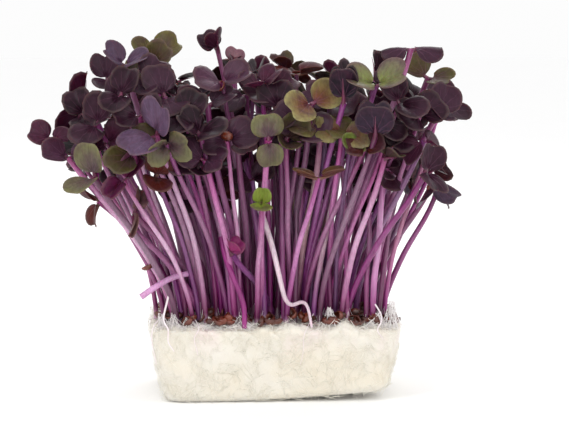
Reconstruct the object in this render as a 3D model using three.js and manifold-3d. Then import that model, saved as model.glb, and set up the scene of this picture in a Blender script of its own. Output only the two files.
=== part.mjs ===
// A clump of purple radish microgreens on the white wadding pad that they were sown on, about 112 mm tall.
// Millimetres, +Z up, +X to the right and -Y to the front. The origin is the middle of the pad's underside.
// Each root crown holds two sprouts, because neighbouring seedlings root into one tuft in the wadding.

import * as THREE from "three";
import { mergeGeometries, mergeVertices } from "three/addons/utils/BufferGeometryUtils.js";
import Module from "manifold-3d";

const wasm = await Module();
wasm.setup();

// Driving dimensions, in millimetres.
const PAD = {
  width: 74.5, // across the top
  depth: 52,
  height: 23.5,
  corner: 4, // radius of the upright corners
  soft: 2.2, // radius of the top and bottom edges
  draft: 0.1, // how far the sides close in towards the underside, as a share
};
const CROWN = { radius: 2.4, sink: 5.5, rise: 0.9, gap: 0.35, sides: 5, apart: 1 };
const STEM = { radius: 1, steps: 4, sides: 3, sink: 0.9 };
const BLADE = {
  thick: 0.64,
  stalk: 3.4, // length of a seed leaf's own stalk
  stalkHalf: 0.5,
  clasp: 0.95, // half the width of the two stalks where they meet round the stem
  spread: 100, // degrees from the midrib to where the margin meets the stalk
  fullness: 0.38, // lower is fuller
  part: 0.45, // how far each leaf of a pair stays on its own side
  notch: 0.33, // how deep the notch between the lobes is, as a share of the length
  notchWidth: 16, // degrees
  outline: [75, 45, 18], // degrees from the midrib at which a lobe's margin has a corner
};
const HULL = { long: 1.9, wide: 1.45, deep: 1.2, rest: 0.35, clear: 3.1 };
const CLEAR = 2.3; // least distance between the middles of two sprouts' sample points
const PARTED = 48; // height above which the two sprouts of one crown are clear of each other too
const GRID = { rows: 6, columns: 8, edge: 4.8, stray: 1.1 }; // where the crowns stand
// How far out the other sprouts lean, as a share of how far out they are rooted, and how high they reach
// above the pad.
const FAN = { left: 1.55, right: 1.3, deep: 1.35, stray: 6.5, low: 44, high: 74, droop: 0.003 };
const ROOTED = 0.52; // how far out a sprout that shows is rooted, as a share of how far out its leaves are
const SEED = 20417;

// Sprouts that show best, one to a row: where the two seed leaves part, the way the leaf pair faces (degrees
// round from +X, degrees up), the turn of the first leaf in that plane, how far both leaves close towards the
// way they face, the fold along the midrib, the curl from stalk to tip, and the leaf's length.
const SHOWN = [
  [[-36, -6, 103], [-80, 40], 80, 40, 25, -17, 9],
  [[-45, -18, 101], [-90, 25], 140, 20, 20, -10, 8.5],
  [[-50.5, -8, 96], [-100, 45], 100, 35, 25, -14, 8.5],
  [[-48.5, -24, 90], [-120, 20], 60, 20, 40, -14, 8.5],
  [[-67, -14, 79], [-100, 30], 165, 30, 35, -20, 7],
  [[-61.5, -22, 74], [-90, 45], 5, 30, 20, -20, 8],
  [[-53.5, -34, 69], [-130, 25], 90, 45, 15, -12, 9.5],
  [[-53, -26, 61], [-160, -20], 90, 40, 25, -20, 7.5],
  [[-35.5, -40, 81.5], [-90, 12], 137, 6, 18, -10, 10],
  [[-42, -31, 58], [-60, 30], 70, 60, 30, -10, 7.5],
  [[-17, -2, 105.5], [-150, 60], 0, 58, 30, -8, 7],
  [[-12.5, 5, 101.5], [-40, 60], 40, 40, 25, -12, 5],
  [[-4.5, 10, 97.5], [-170, 50], 10, 25, 25, -20, 7.5],
  [[-4.5, -24, 95], [-100, 60], 45, 30, 35, -12, 7.5],
  [[7, -5, 98], [-90, 78], 5, 12, 15, -14, 8],
  [[9, -15, 90.5], [-80, 35], -12, 4, 12, -12, 9],
  [[-24, -11, 89], [-90, 75], 0, 45, 25, -14, 7],
  [[-20.5, -29, 89.5], [-90, 60], 12, 28, 15, -12, 9],
  [[18.5, -30, 92], [-100, 76], 90, 70, 12, -8, 9],
  [[28, -19, 94.5], [-90, 55], 2, 20, 12, -12, 8.5],
  [[28, -38, 82.5], [-95, 70], 90, 60, 15, -8, 9.5],
  [[12.5, -28, 83], [-90, 40], 172, 10, 20, -12, 8.5],
  [[-4, -39, 82], [-90, 8], 178, 22, 15, -10, 9],
  [[-12, -31, 79], [-90, 40], 120, 20, 20, -12, 7],
  [[-21.5, -38, 74], [-110, 40], 165, 30, 20, -16, 8],
  [[-5, -34, 61], [-90, 30], 85, 30, 18, -12, 6.5],
  [[39.5, -22, 106], [-90, 84], 3, 28, 20, -30, 10],
  [[47, -9, 97], [-100, 50], 150, 20, 20, -16, 8.5],
  [[53, -4, 89], [-60, 45], 90, 12, 12, -14, 8.5],
  [[48, -16, 86.5], [-60, 40], 60, 40, 30, -14, 9],
  [[43, -31, 79], [-80, 50], 20, -30, 12, -25, 8],
  [[43, -36, 70], [-50, 22], 80, 38, 15, -14, 8.5],
  [[41, -8, 66], [-20, 0], -60, 20, 20, -14, 7.5],
  [[46.5, -24, 66], [-60, -58], 10, 50, 18, -8, 8.5],
  [[11.5, -39, 69], [-90, 84], 8, 8, 30, 20, 7.5],
  [[-13.5, -31, 46], [-80, 60], 20, 65, 25, -8, 5],
].map(([tip, face, turn, close, fold, curl, leaf]) => ({ tip, face, turn, close, fold, curl, leaf }));

// Seed hulls lie in little heaps along the front of the pad. For each hull: where it lies, and its turn.
const HEAPS = [
  [[-19.4, -24.6, 20], [-17.8, -24.9, -35], [-16.2, -24.5, 10]],
  [[-1.9, -24.9, 30], [-0.3, -24.6, -20]],
  [[15.4, -24.9, -10], [17, -24.6, 25]],
  [[23.4, -24.8, -30], [25, -24.6, 15]],
];
const hullMiddles = HEAPS.flat().map(([x, y]) => new THREE.Vector3(x, y, PAD.height + HULL.rest + HULL.deep));

const radians = (degrees) => (degrees * Math.PI) / 180;
const vector = (x, y, z) => new THREE.Vector3(x, y, z);

// Numbers from 0 to 1 in a fixed order.
function seededDraws(seed) {
  let state = seed >>> 0;
  return () => {
    state = (state + 0x6d2b79f5) >>> 0;
    let mixed = Math.imul(state ^ (state >>> 15), state | 1);
    mixed ^= mixed + Math.imul(mixed ^ (mixed >>> 7), mixed | 61);
    return ((mixed ^ (mixed >>> 14)) >>> 0) / 4294967296;
  };
}
const draw = seededDraws(SEED);
const between = (low, high) => low + (high - low) * draw();

// A closed geometry as a solid, and a solid as a geometry again.
function solidOf(geometry) {
  const bare = new THREE.BufferGeometry().setAttribute("position", geometry.getAttribute("position"));
  if (geometry.index) bare.setIndex(geometry.index);
  const merged = mergeVertices(bare, 1e-4);
  const vertProperties = new Float32Array(merged.attributes.position.array);
  const triVerts = new Uint32Array(merged.index.array);
  return new wasm.Manifold(new wasm.Mesh({ numProp: 3, vertProperties, triVerts }));
}

function geometryOf(solid) {
  const mesh = solid.getMesh();
  const geometry = new THREE.BufferGeometry();
  geometry.setAttribute("position", new THREE.BufferAttribute(mesh.vertProperties, 3));
  geometry.setIndex(new THREE.BufferAttribute(mesh.triVerts, 1));
  geometry.computeVertexNormals();
  return geometry;
}

const joined = (solids) => solids.reduce((whole, next) => whole.add(next));

// A stem's middle line: it leaves the pad almost upright, then leans out and straightens under its leaves.
function stemLine(root, tip, bow) {
  const low = vector(root[0], root[1], PAD.height - STEM.sink);
  const high = vector(...tip);
  const lean = high.clone().sub(low);
  const near = vector(low.x + 0.02 * lean.x, low.y + 0.02 * lean.y, low.z + 0.38 * lean.z);
  const far = vector(low.x + 0.66 * lean.x + bow[0], low.y + 0.66 * lean.y + bow[1], low.z + 0.7 * lean.z);
  return new THREE.CubicBezierCurve3(low, near, far, high).getPoints(STEM.steps);
}

// The two seed leaves of a sprout: for each, where it starts and its own directions.
function leafPair(sprout) {
  const [round, up] = sprout.face.map(radians);
  const facing = vector(Math.cos(up) * Math.cos(round), Math.cos(up) * Math.sin(round), Math.sin(up));
  const level = vector(-Math.sin(round), Math.cos(round), 0);
  const steep = facing.clone().cross(level);
  return [0, 180].map((opposite) => {
    const turn = radians(sprout.turn + opposite);
    const outward = level.clone().multiplyScalar(Math.cos(turn)).addScaledVector(steep, Math.sin(turn));
    const close = radians(sprout.close);
    const along = outward.clone().multiplyScalar(Math.cos(close)).addScaledVector(facing, Math.sin(close));
    const normal = facing.clone().multiplyScalar(Math.cos(close)).addScaledVector(outward, -Math.sin(close));
    return opened({
      start: vector(...sprout.tip),
      facing,
      outward,
      mitre: 1 / Math.cos(close), // where the two leaves of a pair meet
      along,
      normal,
      across: normal.clone().cross(along),
      fold: radians(sprout.fold),
      curl: radians(sprout.curl),
      length: sprout.leaf,
      stalk: BLADE.stalk * (sprout.leaf / 10),
    });
  });
}

// A leaf's flat outline: how far its margin is from the stalk's end, at an angle from the midrib.
function margin(length, degrees) {
  const full = Math.pow(Math.cos(radians((Math.abs(degrees) * 90) / BLADE.spread)), BLADE.fullness);
  return length * full * (1 - BLADE.notch * Math.exp(-Math.pow(degrees / BLADE.notchWidth, 2)));
}

// A point of a leaf, u along it, v across it and h above its middle, once the leaf is folded and curled.
function onLeaf(leaf, u, v, h) {
  const side = Math.sign(v);
  const folded = v * Math.cos(leaf.fold) - side * h * Math.sin(leaf.fold);
  const offset = side ? h * Math.cos(leaf.fold) : h / Math.cos(leaf.fold);
  const raised = Math.abs(v) * Math.sin(leaf.fold) + offset;
  if (u === 0) {
    return leaf.start.clone().addScaledVector(leaf.across, v).addScaledVector(leaf.facing, h * leaf.mitre);
  }
  const reach = leaf.length + leaf.stalk;
  const bend = reach / leaf.curl;
  const turn = u / bend;
  const place = leaf.start.clone().addScaledVector(leaf.along, (bend - raised) * Math.sin(turn));
  place.addScaledVector(leaf.normal, bend - (bend - raised) * Math.cos(turn));
  return place.addScaledVector(leaf.across, folded);
}

// The flat corners of a leaf and the triangles of its upper face.
function leafCorners(leaf) {
  const lobe = (degrees) => {
    const out = margin(leaf.length, degrees);
    return [leaf.stalk + out * Math.cos(radians(degrees)), out * Math.sin(radians(degrees))];
  };
  const right = BLADE.outline.map((degrees) => lobe(-degrees));
  const left = BLADE.outline.map(lobe).reverse();
  const half = BLADE.stalkHalf;
  const neck = [[leaf.stalk, half], [0, BLADE.clasp], [leaf.stalk, 0]];
  return [[0, -BLADE.clasp], [leaf.stalk, -half], ...right, lobe(0), ...left, ...neck];
}
const LEAF_FACES = [
  [0, 1, 11],
  [0, 11, 10],
  [10, 11, 9],
  [1, 2, 11],
  [2, 3, 11],
  [3, 4, 11],
  [4, 5, 11],
  [5, 6, 11],
  [6, 7, 11],
  [7, 8, 11],
  [8, 9, 11],
];
const LEAF_RIM = [0, 1, 2, 3, 4, 5, 6, 7, 8, 9, 10];

// A leaf's fold is eased until it is clear of the other leaf of its pair.
function opened(leaf) {
  const reach = ([u, v]) => onLeaf(leaf, u, v, 0).sub(leaf.start).dot(leaf.outward);
  const crowded = leafCorners(leaf).some((corner) => corner[0] > 0 && reach(corner) < BLADE.part);
  return crowded ? opened({ ...leaf, fold: leaf.fold * 0.8 }) : leaf;
}

// Points spread over a leaf's middle surface: corners, middles of the edges and middles of the faces.
function leafSamples(leaf) {
  const corners = leafCorners(leaf).map(([u, v]) => onLeaf(leaf, u, v, 0));
  const edges = LEAF_RIM.map((k) => [k, 11]).concat(LEAF_RIM.slice(1).map((k) => [k - 1, k]));
  const middles = edges.map(([a, b]) => corners[a].clone().add(corners[b]).multiplyScalar(0.5));
  const faces = LEAF_FACES.map((face) =>
    face.reduce((sum, k) => sum.add(corners[k]), vector(0, 0, 0)).multiplyScalar(1 / 3),
  );
  return [...corners, ...middles, ...faces];
}

function stemSamples(line) {
  const every = 2;
  return line.slice(1).flatMap((end, k) => {
    const start = line[k];
    const count = Math.ceil(start.distanceTo(end) / every);
    return Array.from({ length: count }, (_, step) => start.clone().lerp(end, (step + 1) / count));
  });
}

function withShape(sprout) {
  const line = stemLine(sprout.root, sprout.tip, sprout.bow);
  const leaves = leafPair(sprout);
  const above = stemSamples(line).filter((p) => p.z > PAD.height);
  const samples = [...above, ...leaves.flatMap(leafSamples)];
  const room = new THREE.Box3().setFromPoints(samples).expandByScalar(CLEAR);
  return { ...sprout, line, leaves, samples, room };
}

// Sprouts of other crowns that stand already; a new one has to be clear of them.
const standing = [];
function isClear(sprout, crown) {
  const overHull = hullMiddles.some((q) => sprout.samples.some((p) => p.distanceTo(q) < HULL.clear));
  if (overHull) return false;
  return standing.every((other) => {
    if (!other.room.intersectsBox(sprout.room)) return true;
    const theirs = other.samples.filter((q) => sprout.room.containsPoint(q));
    const ours = sprout.samples.filter((p) => other.crown !== crown || p.z > PARTED);
    return theirs.every((q) => ours.every((p) => p.distanceTo(q) >= CLEAR));
  });
}

function stand(sprout, crown) {
  standing.push({ ...sprout, crown });
}

// A sprout that shows keeps its place from the front and is bent forwards or back until it is clear.
function placeShown(row, root, crown) {
  for (let attempt = 0; attempt < 600; attempt++) {
    const ease = attempt / 60;
    const bow = [between(-1.5, 1.5) * (1 + ease / 3), between(-1.5, 1.5) * (1 + ease)];
    const tip = [row.tip[0], row.tip[1] + between(-1, 1) * ease, row.tip[2]];
    const sprout = withShape({ ...row, root, tip, bow });
    if (isClear(sprout, crown)) return stand(sprout, crown);
  }
}

// Any other sprout grows up and out from the middle of the pad, with its leaves turned as chance has it.
function placeGrown(root, crown) {
  for (let attempt = 0; attempt < 400; attempt++) {
    const ease = 1 + attempt / 200;
    const outX = root[0] * (root[0] < 0 ? FAN.left : FAN.right);
    const tip = [
      outX + between(-FAN.stray, FAN.stray) * ease,
      root[1] * FAN.deep + between(-FAN.stray, FAN.stray) * ease,
      PAD.height + between(FAN.low, FAN.high) - FAN.droop * outX * outX,
    ];
    const round = (Math.atan2(tip[1] - root[1], tip[0] - root[0]) * 180) / Math.PI;
    const sprout = withShape({
      root,
      tip,
      bow: [between(-2, 2), between(-2, 2)],
      face: [round + between(-70, 70), between(20, 85)],
      turn: between(0, 360),
      close: between(-10, 50),
      fold: between(8, 40),
      curl: -between(6, 34),
      leaf: between(6.2, 8.8) / Math.sqrt(ease),
    });
    if (isClear(sprout, crown)) return stand(sprout, crown);
  }
}

// Crowns stand in staggered rows, each a little out of line, with two seats to a crown.
const seats = [];
for (let row = 0; row < GRID.rows; row++) {
  for (let column = 0; column < GRID.columns; column++) {
    const across = (column + 0.25 + 0.5 * (row % 2)) / (GRID.columns - 0.25) - 0.5;
    const back = row / (GRID.rows - 1) - 0.5;
    const x = across * (PAD.width - 2 * GRID.edge) + between(-GRID.stray, GRID.stray);
    const y = back * (PAD.depth - 2 * GRID.edge) + between(-GRID.stray, GRID.stray);
    const side = between(0, Math.PI);
    const offset = [CROWN.apart * Math.cos(side), CROWN.apart * Math.sin(side)];
    const crown = { x, y, index: row * GRID.columns + column };
    seats.push({ crown, root: [x + offset[0], y + offset[1]] });
    seats.push({ crown, root: [x - offset[0], y - offset[1]] });
  }
}
const crowns = seats.filter((seat, k) => k % 2 === 0).map((seat) => seat.crown);

// A sprout that shows takes the free seat nearest to where its stem would come from.
SHOWN.forEach((row) => {
  const far = (seat) => Math.hypot(seat.root[0] - row.tip[0] * ROOTED, seat.root[1] - row.tip[1] * ROOTED);
  const nearest = seats.reduce((best, seat) => (far(seat) < far(best) ? seat : best));
  seats.splice(seats.indexOf(nearest), 1);
  placeShown(row, nearest.root, nearest.crown.index);
});
seats.forEach((seat) => placeGrown(seat.root, seat.crown.index));

// The stem: rings square to its middle line, joined by flat faces.
function stemSolid(sprout) {
  const { line } = sprout;
  const { sides, radius } = STEM;
  const places = line.flatMap((middle, k) => {
    const tangent = line[Math.min(k + 1, line.length - 1)].clone().sub(line[Math.max(k - 1, 0)]);
    const right = vector(0, 1, 0).cross(tangent).normalize();
    const back = tangent.clone().cross(right).normalize();
    return Array.from({ length: sides }, (_, side) => {
      const round = (2 * Math.PI * side) / sides;
      const corner = middle.clone().addScaledVector(right, radius * Math.cos(round));
      return corner.addScaledVector(back, radius * Math.sin(round)).toArray();
    }).flat();
  });
  const faces = [];
  for (let ring = 0; ring < line.length - 1; ring++) {
    for (let side = 0; side < sides; side++) {
      const a = ring * sides + side;
      const b = ring * sides + ((side + 1) % sides);
      faces.push(a, b, b + sides, a, b + sides, a + sides);
    }
  }
  const last = (line.length - 1) * sides;
  for (let side = 1; side < sides - 1; side++) {
    faces.push(0, side + 1, side, last, last + side, last + side + 1);
  }
  const geometry = new THREE.BufferGeometry();
  geometry.setAttribute("position", new THREE.Float32BufferAttribute(places, 3));
  return solidOf(geometry.setIndex(faces));
}

// A pair of seed leaves as one blade that bends where their stalks meet. Both faces are split into the same
// triangles.
function pairSolid(leaves) {
  const half = BLADE.thick / 2;
  const geometries = leaves.map((leaf) => {
    const flat = leafCorners(leaf);
    const under = flat.length;
    const places = [half, -half].flatMap((h) => flat.flatMap(([u, v]) => onLeaf(leaf, u, v, h).toArray()));
    const upper = LEAF_FACES.flat();
    const lower = LEAF_FACES.flatMap(([a, b, c]) => [a + under, c + under, b + under]);
    const rim = LEAF_RIM.slice(1).flatMap((b, k) => {
      const a = LEAF_RIM[k];
      return [a, a + under, b + under, a, b + under, b];
    });
    const geometry = new THREE.BufferGeometry();
    geometry.setAttribute("position", new THREE.Float32BufferAttribute(places, 3));
    return geometry.setIndex([...upper, ...lower, ...rim]);
  });
  return solidOf(mergeGeometries(geometries));
}

// The root crown: a plug of matted root hairs, in a plain hole in the pad.
function crownPlug(crown, extra) {
  const radius = CROWN.radius + extra;
  const height = CROWN.sink + CROWN.rise + 2 * extra;
  const plug = new THREE.CylinderGeometry(radius, radius, height, CROWN.sides);
  plug.rotateX(Math.PI / 2).translate(crown.x, crown.y, PAD.height - CROWN.sink - extra + height / 2);
  return solidOf(plug);
}

// The growing pad: a soft block of wadding with rounded corners, a little narrower at its underside.
function padSolid() {
  const { width, depth, corner, soft, height, draft } = PAD;
  const x = width / 2 - soft - corner;
  const y = depth / 2 - soft - corner;
  const outline = new THREE.Shape();
  outline.absarc(x, -y, corner, -Math.PI / 2, 0);
  outline.absarc(x, y, corner, 0, Math.PI / 2);
  outline.absarc(-x, y, corner, Math.PI / 2, Math.PI);
  outline.absarc(-x, -y, corner, Math.PI, 1.5 * Math.PI);
  const block = new THREE.ExtrudeGeometry(outline, {
    depth: height - 2 * soft,
    steps: 2,
    curveSegments: 3,
    bevelThickness: soft,
    bevelSize: soft,
    bevelSegments: 2,
  });
  block.translate(0, 0, soft);
  const places = block.getAttribute("position");
  for (let k = 0; k < places.count; k++) {
    const narrow = 1 - draft * Math.pow(1 - places.getZ(k) / height, 1.5);
    places.setXY(k, places.getX(k) * narrow, places.getY(k) * narrow);
  }
  const holes = joined(crowns.map((crown) => crownPlug(crown, CROWN.gap)));
  return solidOf(block).subtract(holes);
}

// A heap of seed hulls that lean on each other.
function heapSolid(heap) {
  const hulls = heap.map(([x, y, turn]) => {
    const hull = new THREE.IcosahedronGeometry(1, 0);
    hull.scale(HULL.long, HULL.wide, HULL.deep);
    hull.rotateZ(radians(turn));
    hull.translate(x, y, PAD.height + HULL.rest + HULL.deep);
    return solidOf(hull);
  });
  return joined(hulls);
}

const SPROUT_LOOK = new THREE.MeshStandardMaterial({ color: 0x6b2a55, roughness: 0.5, metalness: 0 });
const PAD_LOOK = new THREE.MeshStandardMaterial({ color: 0xf1ecdd, roughness: 0.95, metalness: 0 });
const HULL_LOOK = new THREE.MeshStandardMaterial({ color: 0x6e2c12, roughness: 0.6, metalness: 0 });

const microgreens = new THREE.Group();
function addPiece(name, solid, look) {
  const mesh = new THREE.Mesh(geometryOf(solid), look);
  mesh.name = name;
  microgreens.add(mesh);
}

const numbered = (stem, index) => stem + "_" + String(index + 1).padStart(2, "0");
addPiece("growing_pad", padSolid(), PAD_LOOK);
crowns.forEach((crown) => {
  const mine = standing.filter((sprout) => sprout.crown === crown.index);
  const stems = mine.map(stemSolid);
  const leaves = mine.map((sprout) => pairSolid(sprout.leaves));
  addPiece(numbered("sprouts", crown.index), joined([crownPlug(crown, 0), ...stems, ...leaves]), SPROUT_LOOK);
});
HEAPS.forEach((heap, index) => addPiece(numbered("seed_hulls", index), heapSolid(heap), HULL_LOOK));

export default microgreens;
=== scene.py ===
# Purple radish microgreens, about 112 mm tall, standing on the block of white wadding they were sown on.
# Sizes are in millimetres and become metres only where a mesh is made. +Z is up and -Y is the front.

import math

import bpy
import numpy as np
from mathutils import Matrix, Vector, noise


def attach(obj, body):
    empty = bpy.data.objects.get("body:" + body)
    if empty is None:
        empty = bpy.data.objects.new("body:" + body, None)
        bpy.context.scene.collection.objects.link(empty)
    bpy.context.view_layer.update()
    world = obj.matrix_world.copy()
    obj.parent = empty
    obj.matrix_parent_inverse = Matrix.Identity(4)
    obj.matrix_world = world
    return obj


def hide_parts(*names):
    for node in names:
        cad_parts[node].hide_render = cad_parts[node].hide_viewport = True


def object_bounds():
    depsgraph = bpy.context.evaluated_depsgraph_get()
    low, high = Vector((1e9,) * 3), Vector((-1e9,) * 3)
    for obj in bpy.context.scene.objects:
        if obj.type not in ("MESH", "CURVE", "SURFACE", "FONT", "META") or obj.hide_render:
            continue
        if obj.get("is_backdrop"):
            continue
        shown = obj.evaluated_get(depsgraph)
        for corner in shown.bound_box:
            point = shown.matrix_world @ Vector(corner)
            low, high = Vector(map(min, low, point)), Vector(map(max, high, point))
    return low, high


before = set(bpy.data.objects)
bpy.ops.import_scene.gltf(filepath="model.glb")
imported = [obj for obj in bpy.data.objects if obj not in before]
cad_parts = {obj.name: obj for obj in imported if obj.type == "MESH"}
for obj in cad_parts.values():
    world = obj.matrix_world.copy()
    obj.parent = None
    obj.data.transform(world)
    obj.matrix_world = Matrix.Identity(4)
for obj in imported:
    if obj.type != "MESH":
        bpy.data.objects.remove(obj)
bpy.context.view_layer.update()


# The growing pad
# A block of bleached wadding, matted from short fibres and cut to size. It is soft, so its sides bulge, its
# corners are round and its right end has curled off the table. Roots have tinged it pink in places.

PAD_WIDTH = 74.5
PAD_DEPTH = 52
PAD_HEIGHT = 23.5
PAD_CORNER = 6.2
PAD_EDGE = 2.6
PAD_DRAFT = 0.1  # how far its sides draw in towards the foot, as a share
PAD_BELLY = 0.006  # how far its sides bulge half way up, as a share
PAD_LIFT = 3.1  # how far the right end has curled off the table
CURL_START = -15
CURL_LENGTH = 50
PAD_STEP = 0.62  # side of one square of its skin
PAD_SWELL = 0.4  # how far the skin swells and sinks
PAD_TUFTS = 0.1
TOP_TUFTS = 0.5
BRIM_TUFTS = 1.5
BRIM_RISE = 1.3  # how far the brim may stand above the pad's height
TOP_RISE = 0.5
MILLIMETRE = 0.001


def tone(red, green, blue):
    """A colour as a camera would record it, from 0 to 255, turned into the shader's own linear numbers."""
    shares = [channel / 255 for channel in (red, green, blue)]
    return [s / 12.92 if s < 0.04045 else ((s + 0.055) / 1.055) ** 2.4 for s in shares] + [1.0]


def place_node(tree, kind, inputs=None, **settings):
    """Adds a node to a tree. An input is given a value, or another node's output to be joined to."""
    made = tree.nodes.new(kind)
    for name, value in settings.items():
        setattr(made, name, value)
    for socket, value in (inputs or {}).items():
        if isinstance(value, bpy.types.NodeSocket):
            tree.links.new(value, made.inputs[socket])
        else:
            made.inputs[socket].default_value = value
    return made


def output_of(tree, kind, inputs=None, **settings):
    """The first output of a new node."""
    return place_node(tree, kind, inputs, **settings).outputs[0]


def mixed(tree, share, first, second, how="MIX"):
    """Two colours mixed by a share from 0 to 1."""
    inputs = {0: share, 6: first, 7: second}
    return place_node(tree, "ShaderNodeMix", inputs, data_type="RGBA", blend_type=how).outputs[2]


def spread(tree, value, low, high, least=0.0, most=1.0):
    """A value stretched from between low and high to between least and most, and held there."""
    inputs = {0: value, 1: low, 2: high, 3: least, 4: most}
    return output_of(tree, "ShaderNodeMapRange", inputs, clamp=True)


def arithmetic(tree, how, first, second):
    return output_of(tree, "ShaderNodeMath", {0: first, 1: second}, operation=how)


def speckle(tree, vector, scale, detail=3.0, warp=0.0):
    """Cloudy noise from 0 to 1."""
    inputs = {"Vector": vector, "Scale": scale, "Detail": detail, "Distortion": warp}
    return output_of(tree, "ShaderNodeTexNoise", inputs)


def stretched(tree, vector, scale):
    """A position squeezed or stretched along each axis, for patterns that run one way."""
    return output_of(tree, "ShaderNodeMapping", {"Vector": vector, "Scale": scale})


def attribute(tree, name, output):
    """A value that the mesh itself carries."""
    made = place_node(tree, "ShaderNodeAttribute", attribute_name=name, attribute_type="GEOMETRY")
    return made.outputs[output]


def group_outputs(tree, group, inputs):
    """Puts a shader group into a tree."""
    return place_node(tree, "ShaderNodeGroup", inputs, node_tree=group).outputs


def on_object(tree):
    return place_node(tree, "ShaderNodeTexCoord").outputs["Object"]


def new_finish(name, **constants):
    """A material and its shader. What is the same all over is set straight on the shader's sockets."""
    material = bpy.data.materials.new(name)
    material.use_nodes = True
    shader = material.node_tree.nodes["Principled BSDF"]
    for socket, value in constants.items():
        shader.inputs[socket.replace("_", " ")].default_value = value
    return material, material.node_tree, shader


def covered(tree, shader, colour, roughness):
    """Joins a colour and a roughness to the shader."""
    tree.links.new(colour, shader.inputs["Base Color"])
    tree.links.new(roughness, shader.inputs["Roughness"])


def raised(tree, shader, height, strength, depth):
    """Joins a height to the shader as fine relief, depth in millimetres."""
    inputs = {"Height": height, "Strength": strength, "Distance": depth * MILLIMETRE}
    tree.links.new(output_of(tree, "ShaderNodeBump", inputs), shader.inputs["Normal"])


def new_group(name, inputs, outputs):
    """An empty shader group with named inputs and outputs."""
    group = bpy.data.node_groups.new(name, "ShaderNodeTree")
    for label, kind, value in inputs:
        socket = group.interface.new_socket(label, in_out="INPUT", socket_type="NodeSocket" + kind)
        if value is not None:
            socket.default_value = value
    for label, kind in outputs:
        group.interface.new_socket(label, in_out="OUTPUT", socket_type="NodeSocket" + kind)
    return group, group.nodes.new("NodeGroupInput").outputs, group.nodes.new("NodeGroupOutput").inputs


def matted_fibre_group():
    """Short fibres lying every way: thin bent lines of light and shade, at two scales."""
    inputs = [("Vector", "Vector", None), ("Fibre", "Float", 2100.0), ("Clump", "Float", 130.0)]
    group, given, made = new_group("Matted fibres", inputs, [("Height", "Float"), ("Shade", "Float")])
    bent = speckle(group, given["Vector"], given["Clump"], 2.0)
    lines = []
    for turn in (0.35, 1.4, 2.3):
        about = {"Vector": given["Vector"], "Rotation": (turn, turn, turn)}
        spun = output_of(group, "ShaderNodeMapping", about)
        field = speckle(group, stretched(group, spun, (1.0, 0.16, 1.0)), given["Fibre"], 2.0, 1.2)
        ridge = arithmetic(group, "ABSOLUTE", arithmetic(group, "SUBTRACT", field, 0.5), 0.0)
        lines.append(spread(group, ridge, 0.0, 0.06, 1.0, 0.0))
    most = arithmetic(group, "MAXIMUM", arithmetic(group, "MAXIMUM", lines[0], lines[1]), lines[2])
    height = arithmetic(group, "ADD", arithmetic(group, "MULTIPLY", most, 0.28), bent)
    group.links.new(height, made["Height"])
    group.links.new(spread(group, height, 0.35, 1.0), made["Shade"])
    return group


MATTED_FIBRES = matted_fibre_group()


def wadding_finish():
    """Cream-white wadding with yellowish stains, and pink near its top where the roots have come through."""
    sheen = {"Sheen_Weight": 0.35, "Sheen_Roughness": 0.6, "Specular_IOR_Level": 0.2}
    soft = {"Subsurface_Weight": 0.3, "Subsurface_Scale": 0.003, "Subsurface_Radius": (1.0, 0.9, 0.8)}
    material, tree, shader = new_finish("wadding", **sheen, **soft)
    where = on_object(tree)
    fibres = group_outputs(tree, MATTED_FIBRES, {"Vector": where})
    colour = mixed(tree, fibres["Shade"], tone(223, 217, 203), tone(231, 227, 217))
    stain = speckle(tree, stretched(tree, where, (0.7, 0.7, 1.3)), 55.0, 4.0, 0.4)
    colour = mixed(tree, spread(tree, stain, 0.46, 0.75, 0.0, 0.5), colour, tone(227, 214, 186))
    height = place_node(tree, "ShaderNodeSeparateXYZ", {0: where}).outputs[2]
    near_top = spread(tree, height, 0.012, PAD_HEIGHT * MILLIMETRE)
    tinge = speckle(tree, stretched(tree, where, (1.0, 1.0, 0.45)), 70.0, 3.0)
    pink = arithmetic(tree, "MULTIPLY", spread(tree, tinge, 0.5, 0.7, 0.0, 0.55), near_top)
    colour = mixed(tree, pink, colour, tone(236, 208, 220))
    covered(tree, shader, colour, spread(tree, fibres["Shade"], 0.0, 1.0, 0.98, 0.85))
    raised(tree, shader, fibres["Height"], 0.4, 0.14)
    return material


def new_piece(name, places, faces, material):
    """A mesh object from places in millimetres, with its vertices already where they belong."""
    mesh = bpy.data.meshes.new(name)
    mesh.from_pydata((np.asarray(places) * MILLIMETRE).tolist(), [], [list(map(int, f)) for f in faces])
    mesh.update()
    mesh.polygons.foreach_set("use_smooth", [True] * len(mesh.polygons))
    mesh.materials.append(material)
    piece = bpy.data.objects.new(name, mesh)
    bpy.context.scene.collection.objects.link(piece)
    return piece


def block_skin(counts):
    """The skin of a block as squares, with places from -1 to 1 along each side and outward faces."""
    corners, faces, known = [], [], {}

    def corner(place):
        if place not in known:
            known[place] = len(corners)
            corners.append([2 * p / n - 1 for p, n in zip(place, counts)])
        return known[place]

    for axis in range(3):
        first, second = (axis + 1) % 3, (axis + 2) % 3
        for end in (0, counts[axis]):
            for a in range(counts[first]):
                for b in range(counts[second]):
                    ring = [(a, b), (a + 1, b), (a + 1, b + 1), (a, b + 1)]
                    square = []
                    for one, two in ring if end else reversed(ring):
                        place = [0, 0, 0]
                        place[axis], place[first], place[second] = end, one, two
                        square.append(corner(tuple(place)))
                    faces.append(square)
    return np.array(corners), faces


def rough_noise(places, size, octaves):
    """Smooth chance values, one to a place, about -1 to 1, with bumps of the size given."""
    return np.array([noise.fractal(Vector(p) / size, 1.0, 2.0, octaves) for p in places])


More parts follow.
